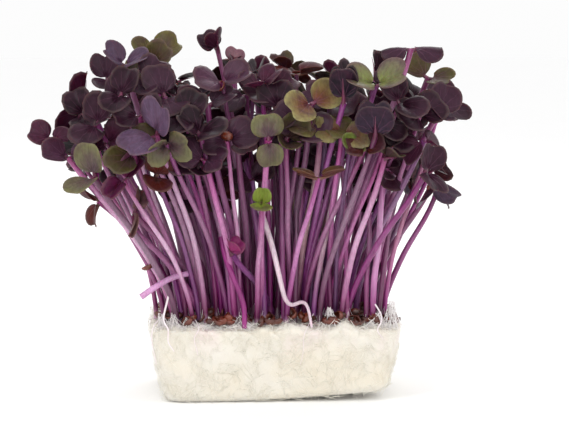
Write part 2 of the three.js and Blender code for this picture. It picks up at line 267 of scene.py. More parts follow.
def pad_places(lattice):
    """Rounds a block's lattice to the pad's form, and says how far up each place is, as a share."""
    half = np.array([PAD_WIDTH / 2, PAD_DEPTH / 2, PAD_HEIGHT / 2])
    p = lattice * half
    plan = p[:, :2]
    inner = np.clip(plan, -(half[:2] - PAD_CORNER), half[:2] - PAD_CORNER)
    out = plan - inner
    reach = np.abs(out).max(axis=1)
    way = out / np.maximum(np.linalg.norm(out, axis=1), 1e-9)[:, None]
    up = np.clip(np.abs(p[:, 2]) - (half[2] - PAD_EDGE), 0, None)
    over = np.clip(reach - (PAD_CORNER - PAD_EDGE), 0, None)
    scale = np.maximum(up, over) / np.maximum(np.hypot(up, over), 1e-9)
    round_over = reach - over + over * scale
    p[:, :2] = inner + way * round_over[:, None]
    p[:, 2] = np.sign(p[:, 2]) * (np.abs(p[:, 2]) - up + up * scale) + half[2]
    share = np.clip(p[:, 2] / PAD_HEIGHT, 0, 1)
    swell = 1 - PAD_DRAFT * (1 - share) ** 1.7 + PAD_BELLY * np.sin(np.pi * share)
    p[:, :2] *= swell[:, None]
    ramp = np.clip((p[:, 0] - CURL_START) / CURL_LENGTH, 0, 1) ** 1.4
    p[:, 2] += PAD_LIFT * ramp * (1 - share) ** 1.2
    return p, share


def growing_pad():
    """The block with its uneven skin: soft swellings all over, low tufts on top, higher ones at the brim."""
    counts = [round(side / PAD_STEP) for side in (PAD_WIDTH, PAD_DEPTH, PAD_HEIGHT)]
    lattice, faces = block_skin(counts)
    places, share = pad_places(lattice)
    pad = new_piece("growing_pad_wadding", places, faces, wadding_finish())
    normals = np.array([v.normal for v in pad.data.vertices])
    top = normals[:, 2] > 0.5
    swell = PAD_SWELL * rough_noise(places, 14, 2) - 0.15
    tufts = PAD_TUFTS * rough_noise(places + 40, 3.2, 4)
    tufts += np.where(top, TOP_TUFTS * rough_noise(places + 90, 4.5, 3) - 0.35, 0)
    tufts += np.clip((share - 0.76) / 0.2, 0, 1) * (BRIM_TUFTS * rough_noise(places + 60, 5.5, 4) + 0.4)
    rest = np.clip((share - 0.03) / 0.2, 0, 1)
    places = places + normals * ((swell + tufts) * rest)[:, None]
    brim = (np.abs(places[:, 0]) > PAD_WIDTH / 2 - 4) | (np.abs(places[:, 1]) > PAD_DEPTH / 2 - 3.6)
    places[:, 2] = np.clip(places[:, 2], 0, PAD_HEIGHT + np.where(brim, BRIM_RISE, TOP_RISE))
    pad.data.vertices.foreach_set("co", (places * MILLIMETRE).ravel())
    pad.data.update()
    return pad


pad = growing_pad()
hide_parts("growing_pad")
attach(pad, "root")


# Loose fibres of the pad
# Single fibres that stand a little proud of the wadding all over, bent and lying every way. They are
# scattered over the skin of the block, and they make its outline soft.

FIBRE_DENSITY = 0.4  # to a square millimetre
FIBRE_LENGTH = 7.5
FIBRE_THICKNESS = 0.045
FIBRE_WANDER = 2.4
FIBRE_LOWEST = 0.05
FIBRE_SEED = 7
FIBRE_SIDES = 3


def new_tree(name, inputs):
    """An empty geometry tree with a mesh going in and out, and further named inputs."""
    tree = bpy.data.node_groups.new(name, "GeometryNodeTree")
    tree.interface.new_socket("Geometry", in_out="INPUT", socket_type="NodeSocketGeometry")
    for label, kind in inputs:
        tree.interface.new_socket(label, in_out="INPUT", socket_type="NodeSocket" + kind)
    tree.interface.new_socket("Geometry", in_out="OUTPUT", socket_type="NodeSocketGeometry")
    return tree, tree.nodes.new("NodeGroupInput").outputs, tree.nodes.new("NodeGroupOutput").inputs


def chance(tree, low, high, seed):
    """A random number for each point. Of the node's sets of sockets only the one for floats is on."""
    inputs = {"Min": low, "Max": high, "Seed": seed}
    node = place_node(tree, "FunctionNodeRandomValue", data_type="FLOAT")
    for socket in node.inputs:
        if socket.enabled and socket.name in inputs:
            socket.default_value = inputs[socket.name]
    return next(socket for socket in node.outputs if socket.enabled)


def thickened(tree, curve, sides, radius, material, further):
    """Curves turned into closed strands of one material."""
    ring = output_of(tree, "GeometryNodeCurvePrimitiveCircle", {"Resolution": sides, "Radius": radius})
    inputs = {"Curve": curve, "Profile Curve": ring, "Fill Caps": True}
    solid = output_of(tree, "GeometryNodeCurveToMesh", inputs | further)
    return output_of(tree, "GeometryNodeSetMaterial", {"Geometry": solid, "Material": material})


def loose_fibre_tree():
    """Short bent fibres laid over a mesh, each turned and sized as chance has it."""
    inputs = [("Density", "Float"), ("Length", "Float"), ("Thickness", "Float"), ("Wander", "Float")]
    tree, given, made = new_tree("Loose fibres", inputs + [("Seed", "Int"), ("Material", "Material")])
    spots = {"Mesh": given["Geometry"], "Density": given["Density"], "Seed": given["Seed"]}
    scatter = place_node(tree, "GeometryNodeDistributePointsOnFaces", spots).outputs
    half = arithmetic(tree, "MULTIPLY", given["Length"], 0.5)
    back = arithmetic(tree, "MULTIPLY", half, -1.0)
    side = arithmetic(tree, "MULTIPLY", half, 0.45)
    above = arithmetic(tree, "MULTIPLY", half, 0.1)
    ends = {"Start": {"X": back}, "Middle": {"Y": side, "Z": above}, "End": {"X": half}}
    bend = {name: output_of(tree, "ShaderNodeCombineXYZ", parts) for name, parts in ends.items()}
    fibre = output_of(tree, "GeometryNodeCurveQuadraticBezier", {"Resolution": 5, **bend})
    spin = output_of(tree, "ShaderNodeCombineXYZ", {"Z": chance(tree, 0.0, 2 * math.pi, 3)})
    turns = {0: scatter["Rotation"], 1: spin}
    turned = output_of(tree, "FunctionNodeRotateRotation", turns, rotation_space="LOCAL")
    lay = {"Points": scatter["Points"], "Instance": fibre, "Rotation": turned}
    laid = output_of(tree, "GeometryNodeInstanceOnPoints", lay | {"Scale": chance(tree, 0.45, 1.35, 5)})
    loose = output_of(tree, "GeometryNodeRealizeInstances", {0: laid})
    here = output_of(tree, "GeometryNodeInputPosition")
    waves = {"Vector": here, "Scale": 330.0, "Detail": 1.0}
    cloud = place_node(tree, "ShaderNodeTexNoise", waves).outputs["Color"]
    centred = output_of(tree, "ShaderNodeVectorMath", {0: cloud, 1: (0.5, 0.5, 0.5)}, operation="SUBTRACT")
    shift = {0: centred, "Scale": given["Wander"]}
    wander = output_of(tree, "ShaderNodeVectorMath", shift, operation="SCALE")
    bent = output_of(tree, "GeometryNodeSetPosition", {"Geometry": loose, "Offset": wander})
    round_fibres = thickened(tree, bent, FIBRE_SIDES, given["Thickness"], given["Material"], {})
    tree.links.new(round_fibres, made["Geometry"])
    return tree


def through_tree(name, source, tree, values):
    """Runs a mesh object through a geometry tree and returns the result as a plain mesh object."""
    modifier = source.modifiers.new("tree", "NODES")
    modifier.node_group = tree
    for item in tree.interface.items_tree:
        if item.item_type == "SOCKET" and item.in_out == "INPUT" and item.name in values:
            modifier[item.identifier] = values[item.name]
    ready = source.evaluated_get(bpy.context.evaluated_depsgraph_get())
    mesh = bpy.data.meshes.new_from_object(ready)
    source.modifiers.remove(modifier)
    mesh.name = name
    mesh.polygons.foreach_set("use_smooth", [True] * len(mesh.polygons))
    piece = bpy.data.objects.new(name, mesh)
    bpy.context.scene.collection.objects.link(piece)
    return piece


def fibre_finish():
    """A single bleached fibre."""
    material, tree, shader = new_finish("loose fibre", Sheen_Weight=0.2, Specular_IOR_Level=0.3)
    shade = speckle(tree, on_object(tree), 120.0)
    colour = mixed(tree, shade, tone(236, 230, 214), tone(250, 248, 240))
    covered(tree, shader, colour, spread(tree, shade, 0.3, 0.7, 0.75, 0.9))
    return material


fibres = through_tree(
    "growing_pad_fibres",
    pad,
    loose_fibre_tree(),
    {
        "Density": FIBRE_DENSITY / MILLIMETRE**2,
        "Length": FIBRE_LENGTH * MILLIMETRE,
        "Thickness": FIBRE_THICKNESS * MILLIMETRE,
        "Wander": FIBRE_WANDER * MILLIMETRE,
        "Seed": FIBRE_SEED,
        "Material": fibre_finish(),
    },
)
for vertex in fibres.data.vertices:
    vertex.co.z = max(vertex.co.z, FIBRE_LOWEST * MILLIMETRE)
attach(fibres, "root")


# How the sprouts have grown
# The seed was sown thick, so neighbouring seedlings root into one crown and lean out to the light. This is
# the rule of the solid part, step for step, so that every sprout here stands where its solid does.

STALK_LENGTH = 3.4  # of a leaf 10 mm long
STALK_HALF = 0.5
CLASP = 0.95  # half a stalk's width where it clasps the stem
MARGIN_ANGLES = (75, 45, 18)
PART = 0.45  # how far each leaf stays on its own side of the pair's middle
CLEAR = 2.3
PARTED = 48  # above this height the sprouts of one crown have parted
ROWS = 6
COLUMNS = 8
EDGE = 4.8
STRAY = 1.1
ROOTED = 0.52  # how far out a sprout roots, as a share of how far out its tip is
STEM_SINK = 0.9
SEED = 20417
SHOWN_TRIES = 600
GROWN_TRIES = 400
LEAN_LEFT = 1.55  # how far out tips are on the left, as a share of how far out their roots are
LEAN_RIGHT = 1.3
LEAN_DEEP = 1.35

# Sprouts that show best: where the seed leaves part, the way they face, the turn of the first leaf, how far
# both close, the fold, the curl, the leaf's length, and its colouring.
SHOWN = [
    [(-36, -6, 103), (-80, 40), 80, 40, 25, -17, 9, "olive"],
    [(-45, -18, 101), (-90, 25), 140, 20, 20, -10, 8.5, "slate"],
    [(-50.5, -8, 96), (-100, 45), 100, 35, 25, -14, 8.5, "dusky"],
    [(-48.5, -24, 90), (-120, 20), 60, 20, 40, -14, 8.5, "dusky"],
    [(-67, -14, 79), (-100, 30), 165, 30, 35, -20, 7, "plum"],
    [(-61.5, -22, 74), (-90, 45), 5, 30, 20, -20, 8, "dusky"],
    [(-53.5, -34, 69), (-130, 25), 90, 45, 15, -12, 9.5, "sage"],
    [(-53, -26, 61), (-160, -20), 90, 40, 25, -20, 7.5, "rust"],
    [(-35.5, -40, 81.5), (-90, 12), 137, 6, 18, -10, 10, "slate"],
    [(-42, -31, 58), (-60, 30), 70, 60, 30, -10, 7.5, "withered"],
    [(-17, -2, 105.5), (-150, 60), 0, 58, 30, -8, 7, "aubergine"],
    [(-12.5, 5, 101.5), (-40, 60), 40, 40, 25, -12, 5, "blush"],
    [(-4.5, 10, 97.5), (-170, 50), 10, 25, 25, -20, 7.5, "aubergine"],
    [(-4.5, -24, 95), (-100, 60), 45, 30, 35, -12, 7.5, "plum"],
    [(7, -5, 98), (-90, 78), 5, 12, 15, -14, 8, "rust"],
    [(9, -15, 90.5), (-80, 35), -12, 4, 12, -12, 9, "autumn"],
    [(-24, -11, 89), (-90, 75), 0, 45, 25, -14, 7, "aubergine"],
    [(-20.5, -29, 89.5), (-90, 60), 12, 28, 15, -12, 9, "dusky"],
    [(18.5, -30, 92), (-100, 76), 90, 70, 12, -8, 9, "aubergine"],
    [(28, -19, 94.5), (-90, 55), 2, 20, 12, -12, 8.5, "green"],
    [(28, -38, 82.5), (-95, 70), 90, 60, 15, -8, 9.5, "aubergine"],
    [(12.5, -28, 83), (-90, 40), 172, 10, 20, -12, 8.5, "olive"],
    [(-4, -39, 82), (-90, 8), 178, 22, 15, -10, 9, "sage"],
    [(-12, -31, 79), (-90, 40), 120, 20, 20, -12, 7, "blush"],
    [(-21.5, -38, 74), (-110, 40), 165, 30, 20, -16, 8, "dusky"],
    [(-5, -34, 61), (-90, 30), 85, 30, 18, -12, 6.5, "fresh"],
    [(39.5, -22, 106), (-90, 84), 3, 28, 20, -30, 10, "dusky"],
    [(47, -9, 97), (-100, 50), 150, 20, 20, -16, 8.5, "olive"],
    [(53, -4, 89), (-60, 45), 90, 12, 12, -14, 8.5, "dusky"],
    [(48, -16, 86.5), (-60, 40), 60, 40, 30, -14, 9, "dusky"],
    [(43, -31, 79), (-80, 50), 20, -30, 12, -25, 8, "plum"],
    [(43, -36, 70), (-50, 22), 80, 38, 15, -14, 8.5, "aubergine"],
    [(41, -8, 66), (-20, 0), -60, 20, 20, -14, 7.5, "rust"],
    [(46.5, -24, 66), (-60, -58), 10, 50, 18, -8, 8.5, "slate"],
    [(11.5, -39, 69), (-90, 84), 8, 8, 30, 20, 7.5, "brown"],
    [(-13.5, -31, 46), (-80, 60), 20, 65, 25, -8, 5, "magenta"],
]
PAIR_FIELDS = ("face", "turn", "close", "fold", "curl", "leaf")
HULL_HEAPS = [
    [(-19.4, -24.6, 20), (-17.8, -24.9, -35), (-16.2, -24.5, 10)],
    [(-1.9, -24.9, 30), (-0.3, -24.6, -20)],
    [(15.4, -24.9, -10), (17, -24.6, 25)],
    [(23.4, -24.8, -30), (25, -24.6, 15)],
]
HULL_MIDDLE = PAD_HEIGHT + 1.55
HULL_CLEAR = 3.1
hull_middles = np.array([(x, y, HULL_MIDDLE) for heap in HULL_HEAPS for x, y, _ in heap])
WORD = 0xFFFFFFFF


def seeded_draws(seed):
    """Numbers from 0 to 1 in a fixed order."""
    state = seed & WORD

    def draw():
        nonlocal state
        state = (state + 0x6D2B79F5) & WORD
        stirred = ((state ^ (state >> 15)) * (state | 1)) & WORD
        stirred ^= (stirred + (stirred ^ (stirred >> 7)) * (stirred | 61)) & WORD
        return ((stirred ^ (stirred >> 14)) & WORD) / 4294967296

    return draw


draw = seeded_draws(SEED)


def between(low, high):
    """The next draw, from low to high."""
    return low + (high - low) * draw()


def stem_line(root, tip, bow, steps=4):
    """A stem leaves the pad almost upright, then leans out and straightens under its leaves."""
    low = np.array([root[0], root[1], PAD_HEIGHT - STEM_SINK])
    high = np.array(tip, float)
    lean = high - low
    near = low + lean * (0.02, 0.02, 0.38)
    far = low + lean * (0.66, 0.66, 0.7) + (bow[0], bow[1], 0)
    t = np.linspace(0, 1, steps + 1)[:, None]
    k = 1 - t
    return k**3 * low + 3 * k * k * t * near + 3 * k * t * t * far + t**3 * high


def on_leaf(leaf, u, v, h, soft=0.0):
    """Places u along a leaf, v across it and h above its middle, once the leaf is folded and curled."""
    u, v, h = np.broadcast_arrays(np.asarray(u, float), v, h)
    side = np.sign(v)
    cos_fold, sin_fold = math.cos(leaf["fold"]), math.sin(leaf["fold"])
    folded = v * cos_fold - side * h * sin_fold
    wide = np.sqrt(v * v + soft * soft) - soft if soft else np.abs(v)
    lifted = wide * sin_fold + np.where(side != 0, h * cos_fold, h / cos_fold)
    bend = (leaf["length"] + leaf["stalk"]) / leaf["curl"]
    turn = u / bend
    forward = ((bend - lifted) * np.sin(turn))[:, None] * leaf["along"]
    upward = (bend - (bend - lifted) * np.cos(turn))[:, None] * leaf["normal"]
    place = leaf["start"] + forward + upward + folded[:, None] * leaf["across"]
    clasp = leaf["start"] + v[:, None] * leaf["across"] + (h * leaf["mitre"])[:, None] * leaf["facing"]
    return np.where((u == 0)[:, None], clasp, place)


def margin(length, degrees, notch=0.33, blunt=0.38, width=16):
    """How far a leaf's margin is from its stalk's end, at an angle from the midrib. Its tip is notched."""
    full = np.cos(np.radians(np.abs(degrees) * 0.9)) ** blunt
    return length * full * (1 - notch * np.exp(-((degrees / width) ** 2)))


CORNER_ANGLES = np.array([*(-a for a in MARGIN_ANGLES), 0, *reversed(MARGIN_ANGLES)], float)
RIM = list(range(11))
FACES = [(0, 1, 11), (0, 11, 10), (10, 11, 9)] + [(k, k + 1, 11) for k in range(1, 9)]


def leaf_corners(leaf):
    """The corners of a flat leaf: its margin from one side of the stalk to the other, then its middle."""
    out = margin(leaf["length"], CORNER_ANGLES)
    stalk = leaf["stalk"]
    turn = np.radians(CORNER_ANGLES)
    lobes = np.stack([stalk + out * np.cos(turn), out * np.sin(turn)], axis=1)
    first = [(0, -CLASP), (stalk, -STALK_HALF)]
    last = [(stalk, STALK_HALF), (0, CLASP), (stalk, 0)]
    return np.concatenate([first, lobes, last])


def leaf_pair(sprout):
    """Where both seed leaves of a sprout start, and their own directions."""
    around, up = np.radians(sprout["face"])
    facing = np.array([math.cos(up) * math.cos(around), math.cos(up) * math.sin(around), math.sin(up)])
    level = np.array([-math.sin(around), math.cos(around), 0])
    steep = np.cross(facing, level)
    close = math.radians(sprout["close"])
    pair = []
    for opposite in (0, 180):
        turn = math.radians(sprout["turn"] + opposite)
        outward = level * math.cos(turn) + steep * math.sin(turn)
        along = outward * math.cos(close) + facing * math.sin(close)
        normal = facing * math.cos(close) - outward * math.sin(close)
        leaf = {"start": np.array(sprout["tip"], float), "facing": facing}
        leaf |= {"along": along, "normal": normal, "across": np.cross(normal, along)}
        leaf |= {"mitre": 1 / math.cos(close), "curl": math.radians(sprout["curl"])}
        leaf |= {"fold": math.radians(sprout["fold"]), "length": sprout["leaf"]}
        leaf["stalk"] = STALK_LENGTH * (sprout["leaf"] / 10)
        corners = leaf_corners(leaf)
        beyond = corners[:, 0] > 0
        while True:
            reach = (on_leaf(leaf, corners[:, 0], corners[:, 1], 0.0) - leaf["start"]) @ outward
            if not (reach[beyond] < PART).any():
                break
            leaf["fold"] *= 0.8
        pair.append(leaf)
    return pair


def sample_points(sprout):
    """Points along the stem above the pad and over both leaves."""
    line = stem_line(sprout["root"], sprout["tip"], sprout["bow"])
    points = []
    for start, end in zip(line[:-1], line[1:]):
        count = math.ceil(np.linalg.norm(end - start) / 2)
        shares = (np.arange(count) + 1)[:, None] / count
        points.append(start + (end - start) * shares)
    stem = np.concatenate(points)
    parts = [stem[stem[:, 2] > PAD_HEIGHT]]
    for leaf in sprout["leaves"]:
        flat = leaf_corners(leaf)
        corners = on_leaf(leaf, flat[:, 0], flat[:, 1], 0.0)
        parts.append(corners)
        parts.append((corners[RIM] + corners[11]) / 2)
        parts.append((corners[RIM[:-1]] + corners[RIM[1:]]) / 2)
        parts.append(corners[np.array(FACES)].mean(axis=1))
    return np.concatenate(parts)


def with_shape(sprout, clear):
    """Adds to a sprout its leaves, its sample points and the room that it takes up."""
    sprout["leaves"] = leaf_pair(sprout)
    sprout["samples"] = sample_points(sprout)
    sprout["low"] = sprout["samples"].min(axis=0) - clear
    sprout["high"] = sprout["samples"].max(axis=0) + clear
    return sprout


def far_apart(ours, theirs, least):
    gaps = np.linalg.norm(ours[:, None, :] - theirs[None, :, :], axis=2)
    return not gaps.size or gaps.min() >= least


def is_clear(sprout, crown, clear=CLEAR):
    """True if a sprout is clear of the seed hulls and of every sprout that stands already."""
    if not far_apart(sprout["samples"], hull_middles, HULL_CLEAR):
        return False
    if not standing:
        return True
    meets = (rooms["low"] <= sprout["high"]).all(axis=1) & (rooms["high"] >= sprout["low"]).all(axis=1)
    for index in np.flatnonzero(meets):
        other = standing[index]
        theirs = other["samples"]
        near = ((theirs >= sprout["low"]) & (theirs <= sprout["high"])).all(axis=1)
        ours = sprout["samples"]
        if other["crown"] == crown:
            ours = ours[ours[:, 2] > PARTED]
        if not far_apart(ours, theirs[near], clear):
            return False
    return True


def stand(sprout, crown, colouring):
    """Plants a sprout. What has no colouring of its own is coloured by chance later."""
    standing.append({**sprout, "crown": crown, "colouring": colouring})
    for side in ("low", "high"):
        rooms[side] = np.array([other[side] for other in standing])


standing = []
rooms = {}
seats = []
for row in range(ROWS):
    for column in range(COLUMNS):
        x = ((column + 0.25 + 0.5 * (row % 2)) / (COLUMNS - 0.25) - 0.5) * (PAD_WIDTH - 2 * EDGE)
        y = (row / (ROWS - 1) - 0.5) * (PAD_DEPTH - 2 * EDGE)
        x += between(-STRAY, STRAY)
        y += between(-STRAY, STRAY)
        side = between(0, math.pi)
        crown = (x, y, row * COLUMNS + column)
        seats.append((crown, (x + math.cos(side), y + math.sin(side))))
        seats.append((crown, (x - math.cos(side), y - math.sin(side))))
crowns = [crown for crown, _ in seats[::2]]

for tip, *pair, colouring in SHOWN:
    from_tip = [math.hypot(root[0] - tip[0] * ROOTED, root[1] - tip[1] * ROOTED) for _, root in seats]
    crown, root = seats.pop(from_tip.index(min(from_tip)))
    for attempt in range(SHOWN_TRIES):
        ease = attempt / 60
        bow = [between(-1.5, 1.5) * (1 + ease / 3), between(-1.5, 1.5) * (1 + ease)]
        sprout = {"root": root, "bow": bow, "tip": (tip[0], tip[1] + between(-1, 1) * ease, tip[2])}
        sprout |= zip(PAIR_FIELDS, pair)
        if is_clear(with_shape(sprout, CLEAR), crown[2]):
            stand(sprout, crown[2], colouring)
            break


def grown(root, low, high, stray, ease, leaf_sizes):
    """A sprout that has grown up and out from the middle of the pad, its leaves turned as chance has it."""
    out = root[0] * (LEAN_LEFT if root[0] < 0 else LEAN_RIGHT)
    tip_x = out + between(-stray, stray) * ease
    tip_y = root[1] * LEAN_DEEP + between(-stray, stray) * ease
    tip = (tip_x, tip_y, PAD_HEIGHT + between(low, high) - 0.003 * out * out)
    around = math.degrees(math.atan2(tip[1] - root[1], tip[0] - root[0]))
    sprout = {"root": root, "tip": tip, "bow": [between(-2, 2), between(-2, 2)]}
    sprout["face"] = (around + between(-70, 70), between(20, 85))
    sprout["turn"] = between(0, 360)
    sprout["close"] = between(-10, 50)
    sprout["fold"] = between(8, 40)
    sprout["curl"] = -between(6, 34)
    sprout["leaf"] = between(*leaf_sizes) / math.sqrt(ease)
    return sprout


for crown, root in seats:
    for attempt in range(GROWN_TRIES):
        sprout = grown(root, 44, 74, 6.5, 1 + attempt / 200, (6.2, 8.8))
        if is_clear(with_shape(sprout, CLEAR), crown[2]):
            stand(sprout, crown[2], None)
            break

# Between the sprouts that have a solid stand thinner ones, which fill the crowd.
FILLERS = 270
FRONT_FILLERS = 30
FILLER_TRIES = 45
FILLER_CLEAR = 1.05
FILLER_FRONT = -13
FILLER_SEED = 4391
solid_sprouts = len(standing)
draw = seeded_draws(FILLER_SEED)
for index in range(FILLERS):
    reach_x, reach_y = PAD_WIDTH / 2 - 3.4, PAD_DEPTH / 2 - 2.6
    for attempt in range(FILLER_TRIES):
        root_y = between(-reach_y, -reach_y + 5 if index < FRONT_FILLERS else reach_y)
        root = (between(-reach_x, reach_x), root_y)
        low, high = (38, 58) if index % 4 == 0 and abs(root[0]) < 18 else (48, 76)
        sprout = grown(root, low, high, 8.0, 1.0, (5.8, 9.0))
        sprout["tip"] = (sprout["tip"][0], max(sprout["tip"][1], FILLER_FRONT), sprout["tip"][2])
        if is_clear(with_shape(sprout, FILLER_CLEAR), -1, FILLER_CLEAR):
            stand(sprout, -1, None)
            break

# In front of them some more reach forward, and their pairs close the gaps between the pairs that show best.
FORWARD = [
    [(18.7, -34, 81.4), (-90, 30), 170, 12, 16, -14, 7.5, "autumn"],
    [(24.9, -36, 76.8), (-90, 40), 10, 34, 20, -14, 5.6, "rust"],
    [(20.9, -35, 77), (-70, 30), 130, 40, 30, -10, 4.4, "fresh"],
    [(30.8, -30, 76.1), (-90, 60), 12, 30, 34, -16, 6, "aubergine"],
    [(37.3, -25, 82), (-80, 30), 60, 30, 24, -14, 8.4, "aubergine"],
    [(-22.8, -36, 81.6), (-90, 45), 150, 46, 26, -18, 8, "aubergine"],
    [(-14.9, -33, 79.4), (-90, 35), 20, 20, 18, -14, 8, "dusky"],
    [(-22, -33, 70.9), (-90, 40), 80, 40, 24, -12, 6.6, "aubergine"],
    [(-42, -36, 75.9), (-90, 30), 40, 16, 18, -14, 8, "olive"],
    [(-35.4, -35, 69.1), (-80, 20), 75, 44, 28, -16, 6.4, "rust"],
    [(6.6, -30, 83), (-90, 35), 150, 30, 24, -14, 8.4, "dusky"],
    [(2.4, -32, 79.3), (-70, 30), 60, 44, 30, -10, 7.6, "olive"],
    [(-7.2, -20, 66.9), (-90, 30), 20, 30, 24, -14, 6.4, "aubergine"],
    [(15.8, -25, 89.5), (-100, 40), 160, 26, 20, -12, 8.2, "dusky"],
    [(-28.7, -30, 76.6), (-90, 25), 100, 20, 16, -14, 8.2, "dusky"],
    [(-1.8, -20, 92.3), (-90, 45), 30, 30, 22, -12, 8, "plum"],
    [(10.5, -15, 68), (-90, 30), 110, 30, 26, -14, 7, "aubergine"],
    [(34.3, -20, 68.2), (-60, 30), 40, 26, 22, -14, 7, "plum"],
    [(27.7, -10, 61.4), (-90, 20), 80, 30, 26, -12, 6.4, "aubergine"],
    [(-15.1, -10, 60), (-90, 30), 60, 30, 26, -12, 6.4, "rust"],
    [(-28.7, -15, 60.6), (-90, 30), 130, 30, 26, -12, 6.6, "aubergine"],
    [(-33, -28, 92), (-90, 40), 110, 26, 20, -12, 8.4, "dusky"],
    [(-27, -33, 86), (-100, 35), 60, 30, 24, -12, 7.6, "aubergine"],
    [(36, -30, 90), (-80, 40), 120, 28, 20, -14, 8, "aubergine"],
    [(-37.5, -14, 101), (-90, 22), 42, 30, 24, -14, 7.2, "olive"],
    [(-32.5, -40.5, 79), (-85, -20), 12, 44, 20, -14, 7.2, "sage"],
    [(-45, -36, 68), (-90, 30), 52, 20, 58, -14, 7.6, "magenta"],
    [(-31, -26, 83), (-90, 35), 90, 30, 24, -14, 8, "aubergine"],
    [(-53, -28, 84), (-110, 30), 70, 30, 24, -14, 8, "aubergine"],
    [(0.5, -26, 88), (-90, 35), 100, 30, 24, -14, 8, "aubergine"],
    [(-46, -31, 92.5), (-95, 35), 70, 30, 24, -14, 7.6, "aubergine"],
    [(-40.5, -32, 86.5), (-90, 30), 20, 30, 24, -14, 7.4, "aubergine"],
    [(-57, -20, 86), (-110, 35), 120, 30, 24, -14, 7.6, "aubergine"],
    [(-50, -27, 78.5), (-100, 30), 20, 30, 24, -14, 7.4, "plum"],
    [(-38, -24, 96), (-90, 40), 60, 30, 24, -14, 7.4, "dusky"],
    [(42, -28, 86), (-80, 30), 30, 30, 24, -14, 7.4, "aubergine"],
    [(22, -26, 84), (-90, 35), 60, 30, 24, -14, 8, "plum"],
    [(32, -28, 84), (-80, 35), 100, 30, 24, -14, 8, "aubergine"],
    [(-16, -24, 96), (-90, 50), 10, 30, 24, -14, 8, "dusky"],
]
FORWARD_TRIES = 60
FORWARD_ROOTED = (0.55, 0.62)  # how far out and how far forward they root, as shares of where the tip is
FORWARD_LIMIT = -23
for tip, *pair, colouring in FORWARD:
    for attempt in range(FORWARD_TRIES):
        room = 1 + attempt / 25
        aside, behind = between(-2, 2) * room, between(0, 2) * room
        root = (tip[0] * FORWARD_ROOTED[0] + aside, max(tip[1] * FORWARD_ROOTED[1], FORWARD_LIMIT) + behind)
        sprout = {"root": root, "tip": tip, "bow": [between(-1.5, 1.5), between(-1.5, 1.5)]}
        sprout |= zip(PAIR_FIELDS, pair)
        clear = FILLER_CLEAR * max(0.4, 1 - attempt / FORWARD_TRIES)
        if is_clear(with_shape(sprout, FILLER_CLEAR), -1, clear):
            break
    stand(sprout, -1, colouring)

# How some of the pairs that show best hang, once their blades are as thin and limp as the real ones.
HANGS = {
    0: {"face": (-80, 52), "turn": 18, "close": 38, "leaf": 8.6},
    1: {"face": (-90, 52), "turn": 165, "close": 42, "leaf": 8.2},
    8: {"face": (-126, 27), "turn": 60, "close": 42, "leaf": 10.6},
    9: {"fold": 64, "curl": -60, "leaf": 8.4, "close": 30, "turn": 60},
    15: {"tip": (9.5, -35, 90.2), "face": (-66, 34), "turn": 20, "leaf": 9.4, "close": 14},
    16: {"colouring": "night"},
    18: {"tip": (19, -36, 90.6), "leaf": 10.6, "close": 82, "colouring": "night"},
    19: {"tip": (28.5, -34, 95.4), "face": (-90, 48), "turn": 2, "close": 32, "leaf": 9.8},
    20: {"tip": (28, -38, 80.6), "leaf": 10.6, "close": 82, "colouring": "night"},
    22: {"tip": (-3, -39, 79.8), "turn": 96, "close": 12, "leaf": 7.2},
    25: {"leaf": 5, "fold": 30, "close": 50},
    26: {"face": (-90, 70), "turn": 2, "close": 14, "fold": -40, "curl": -44, "leaf": 9},
}
NARROW = {18: 0.62, 20: 0.86, 9: 0.66, 34: 0.66}  # how wide these leaves are, as a share of the others
for index, change in HANGS.items():
    standing[index].update(change)
    standing[index]["leaves"] = leaf_pair(standing[index])


# Stems and leaf stalks
# Juicy round stems, dark magenta at the foot and darker still there as painted shade among the crowded feet,
# paler and almost lilac half way up, and purple again under the leaves. Each forks into two short stalks,
# which run on under the seed leaves as midribs.

STEM_RADIUS = 0.88
STEM_POINTS = 14
STEM_SIDES = 9
STEM_SEED = 811
STEM_TAPER = ((0, 0.08, 0.5, 0.93, 1), (1.12, 1.02, 1.0, 0.88, 1.0))
FILLER_SIZE = 0.86  # how thick the stems without a solid are, as a share of the others
RIB_PLACES = np.array([0.12, 0.5, 1.0, 1.5, 2.0, 2.7])  # along a midrib, in lengths of the leaf's stalk
RIB_SIZES = np.array([0.85, 0.8, 0.62, 0.42, 0.24, 0.15, 0.06])
RIB_SIDES = 6
# Colours from the foot up, each with its share of the way. The dark stops near the foot are partly the
# stem's own dark magenta, partly painted shade among the crowded feet.
STEM_TONES = [
    (0.0, (214, 178, 200)),
    (0.035, (90, 14, 56)),
    (0.12, (132, 32, 102)),
    (0.3, (170, 78, 142)),
    (0.55, (192, 124, 172)),
    (0.8, (170, 84, 144)),
    (1.0, (138, 44, 104)),
]
PALE_TONES = [np.array(tone(218, 182, 208)), np.array(tone(206, 198, 160))]
VIVID_TONES = [np.array(tone(150, 28, 128)), np.array(tone(124, 60, 150))]
STALK_TONE = np.array(tone(88, 24, 56))
BROWN_STALK_TONE = np.array(tone(92, 50, 34))


def along_tones(shares, stops):
    """Colours along a line, from stops of a share and a colour."""
    knots = [stop for stop, _ in stops]
    channels = np.array([tone(*colour) for _, colour in stops])
    return np.stack([np.interp(shares, knots, channels[:, k]) for k in range(4)], axis=1)


def strand_tree():
    """Edges become round strands, as thick as their attribute says."""
    tree, given, made = new_tree("Round strands", [("Sides", "Int"), ("Material", "Material")])
    line = output_of(tree, "GeometryNodeMeshToCurve", {"Mesh": given["Geometry"]})
    thick = output_of(tree, "GeometryNodeInputNamedAttribute", {"Name": "thick"}, data_type="FLOAT")
    strand = thickened(tree, line, given["Sides"], 1.0, given["Material"], {"Scale": thick})
    tree.links.new(strand, made["Geometry"])
    return tree


STRANDS = strand_tree()


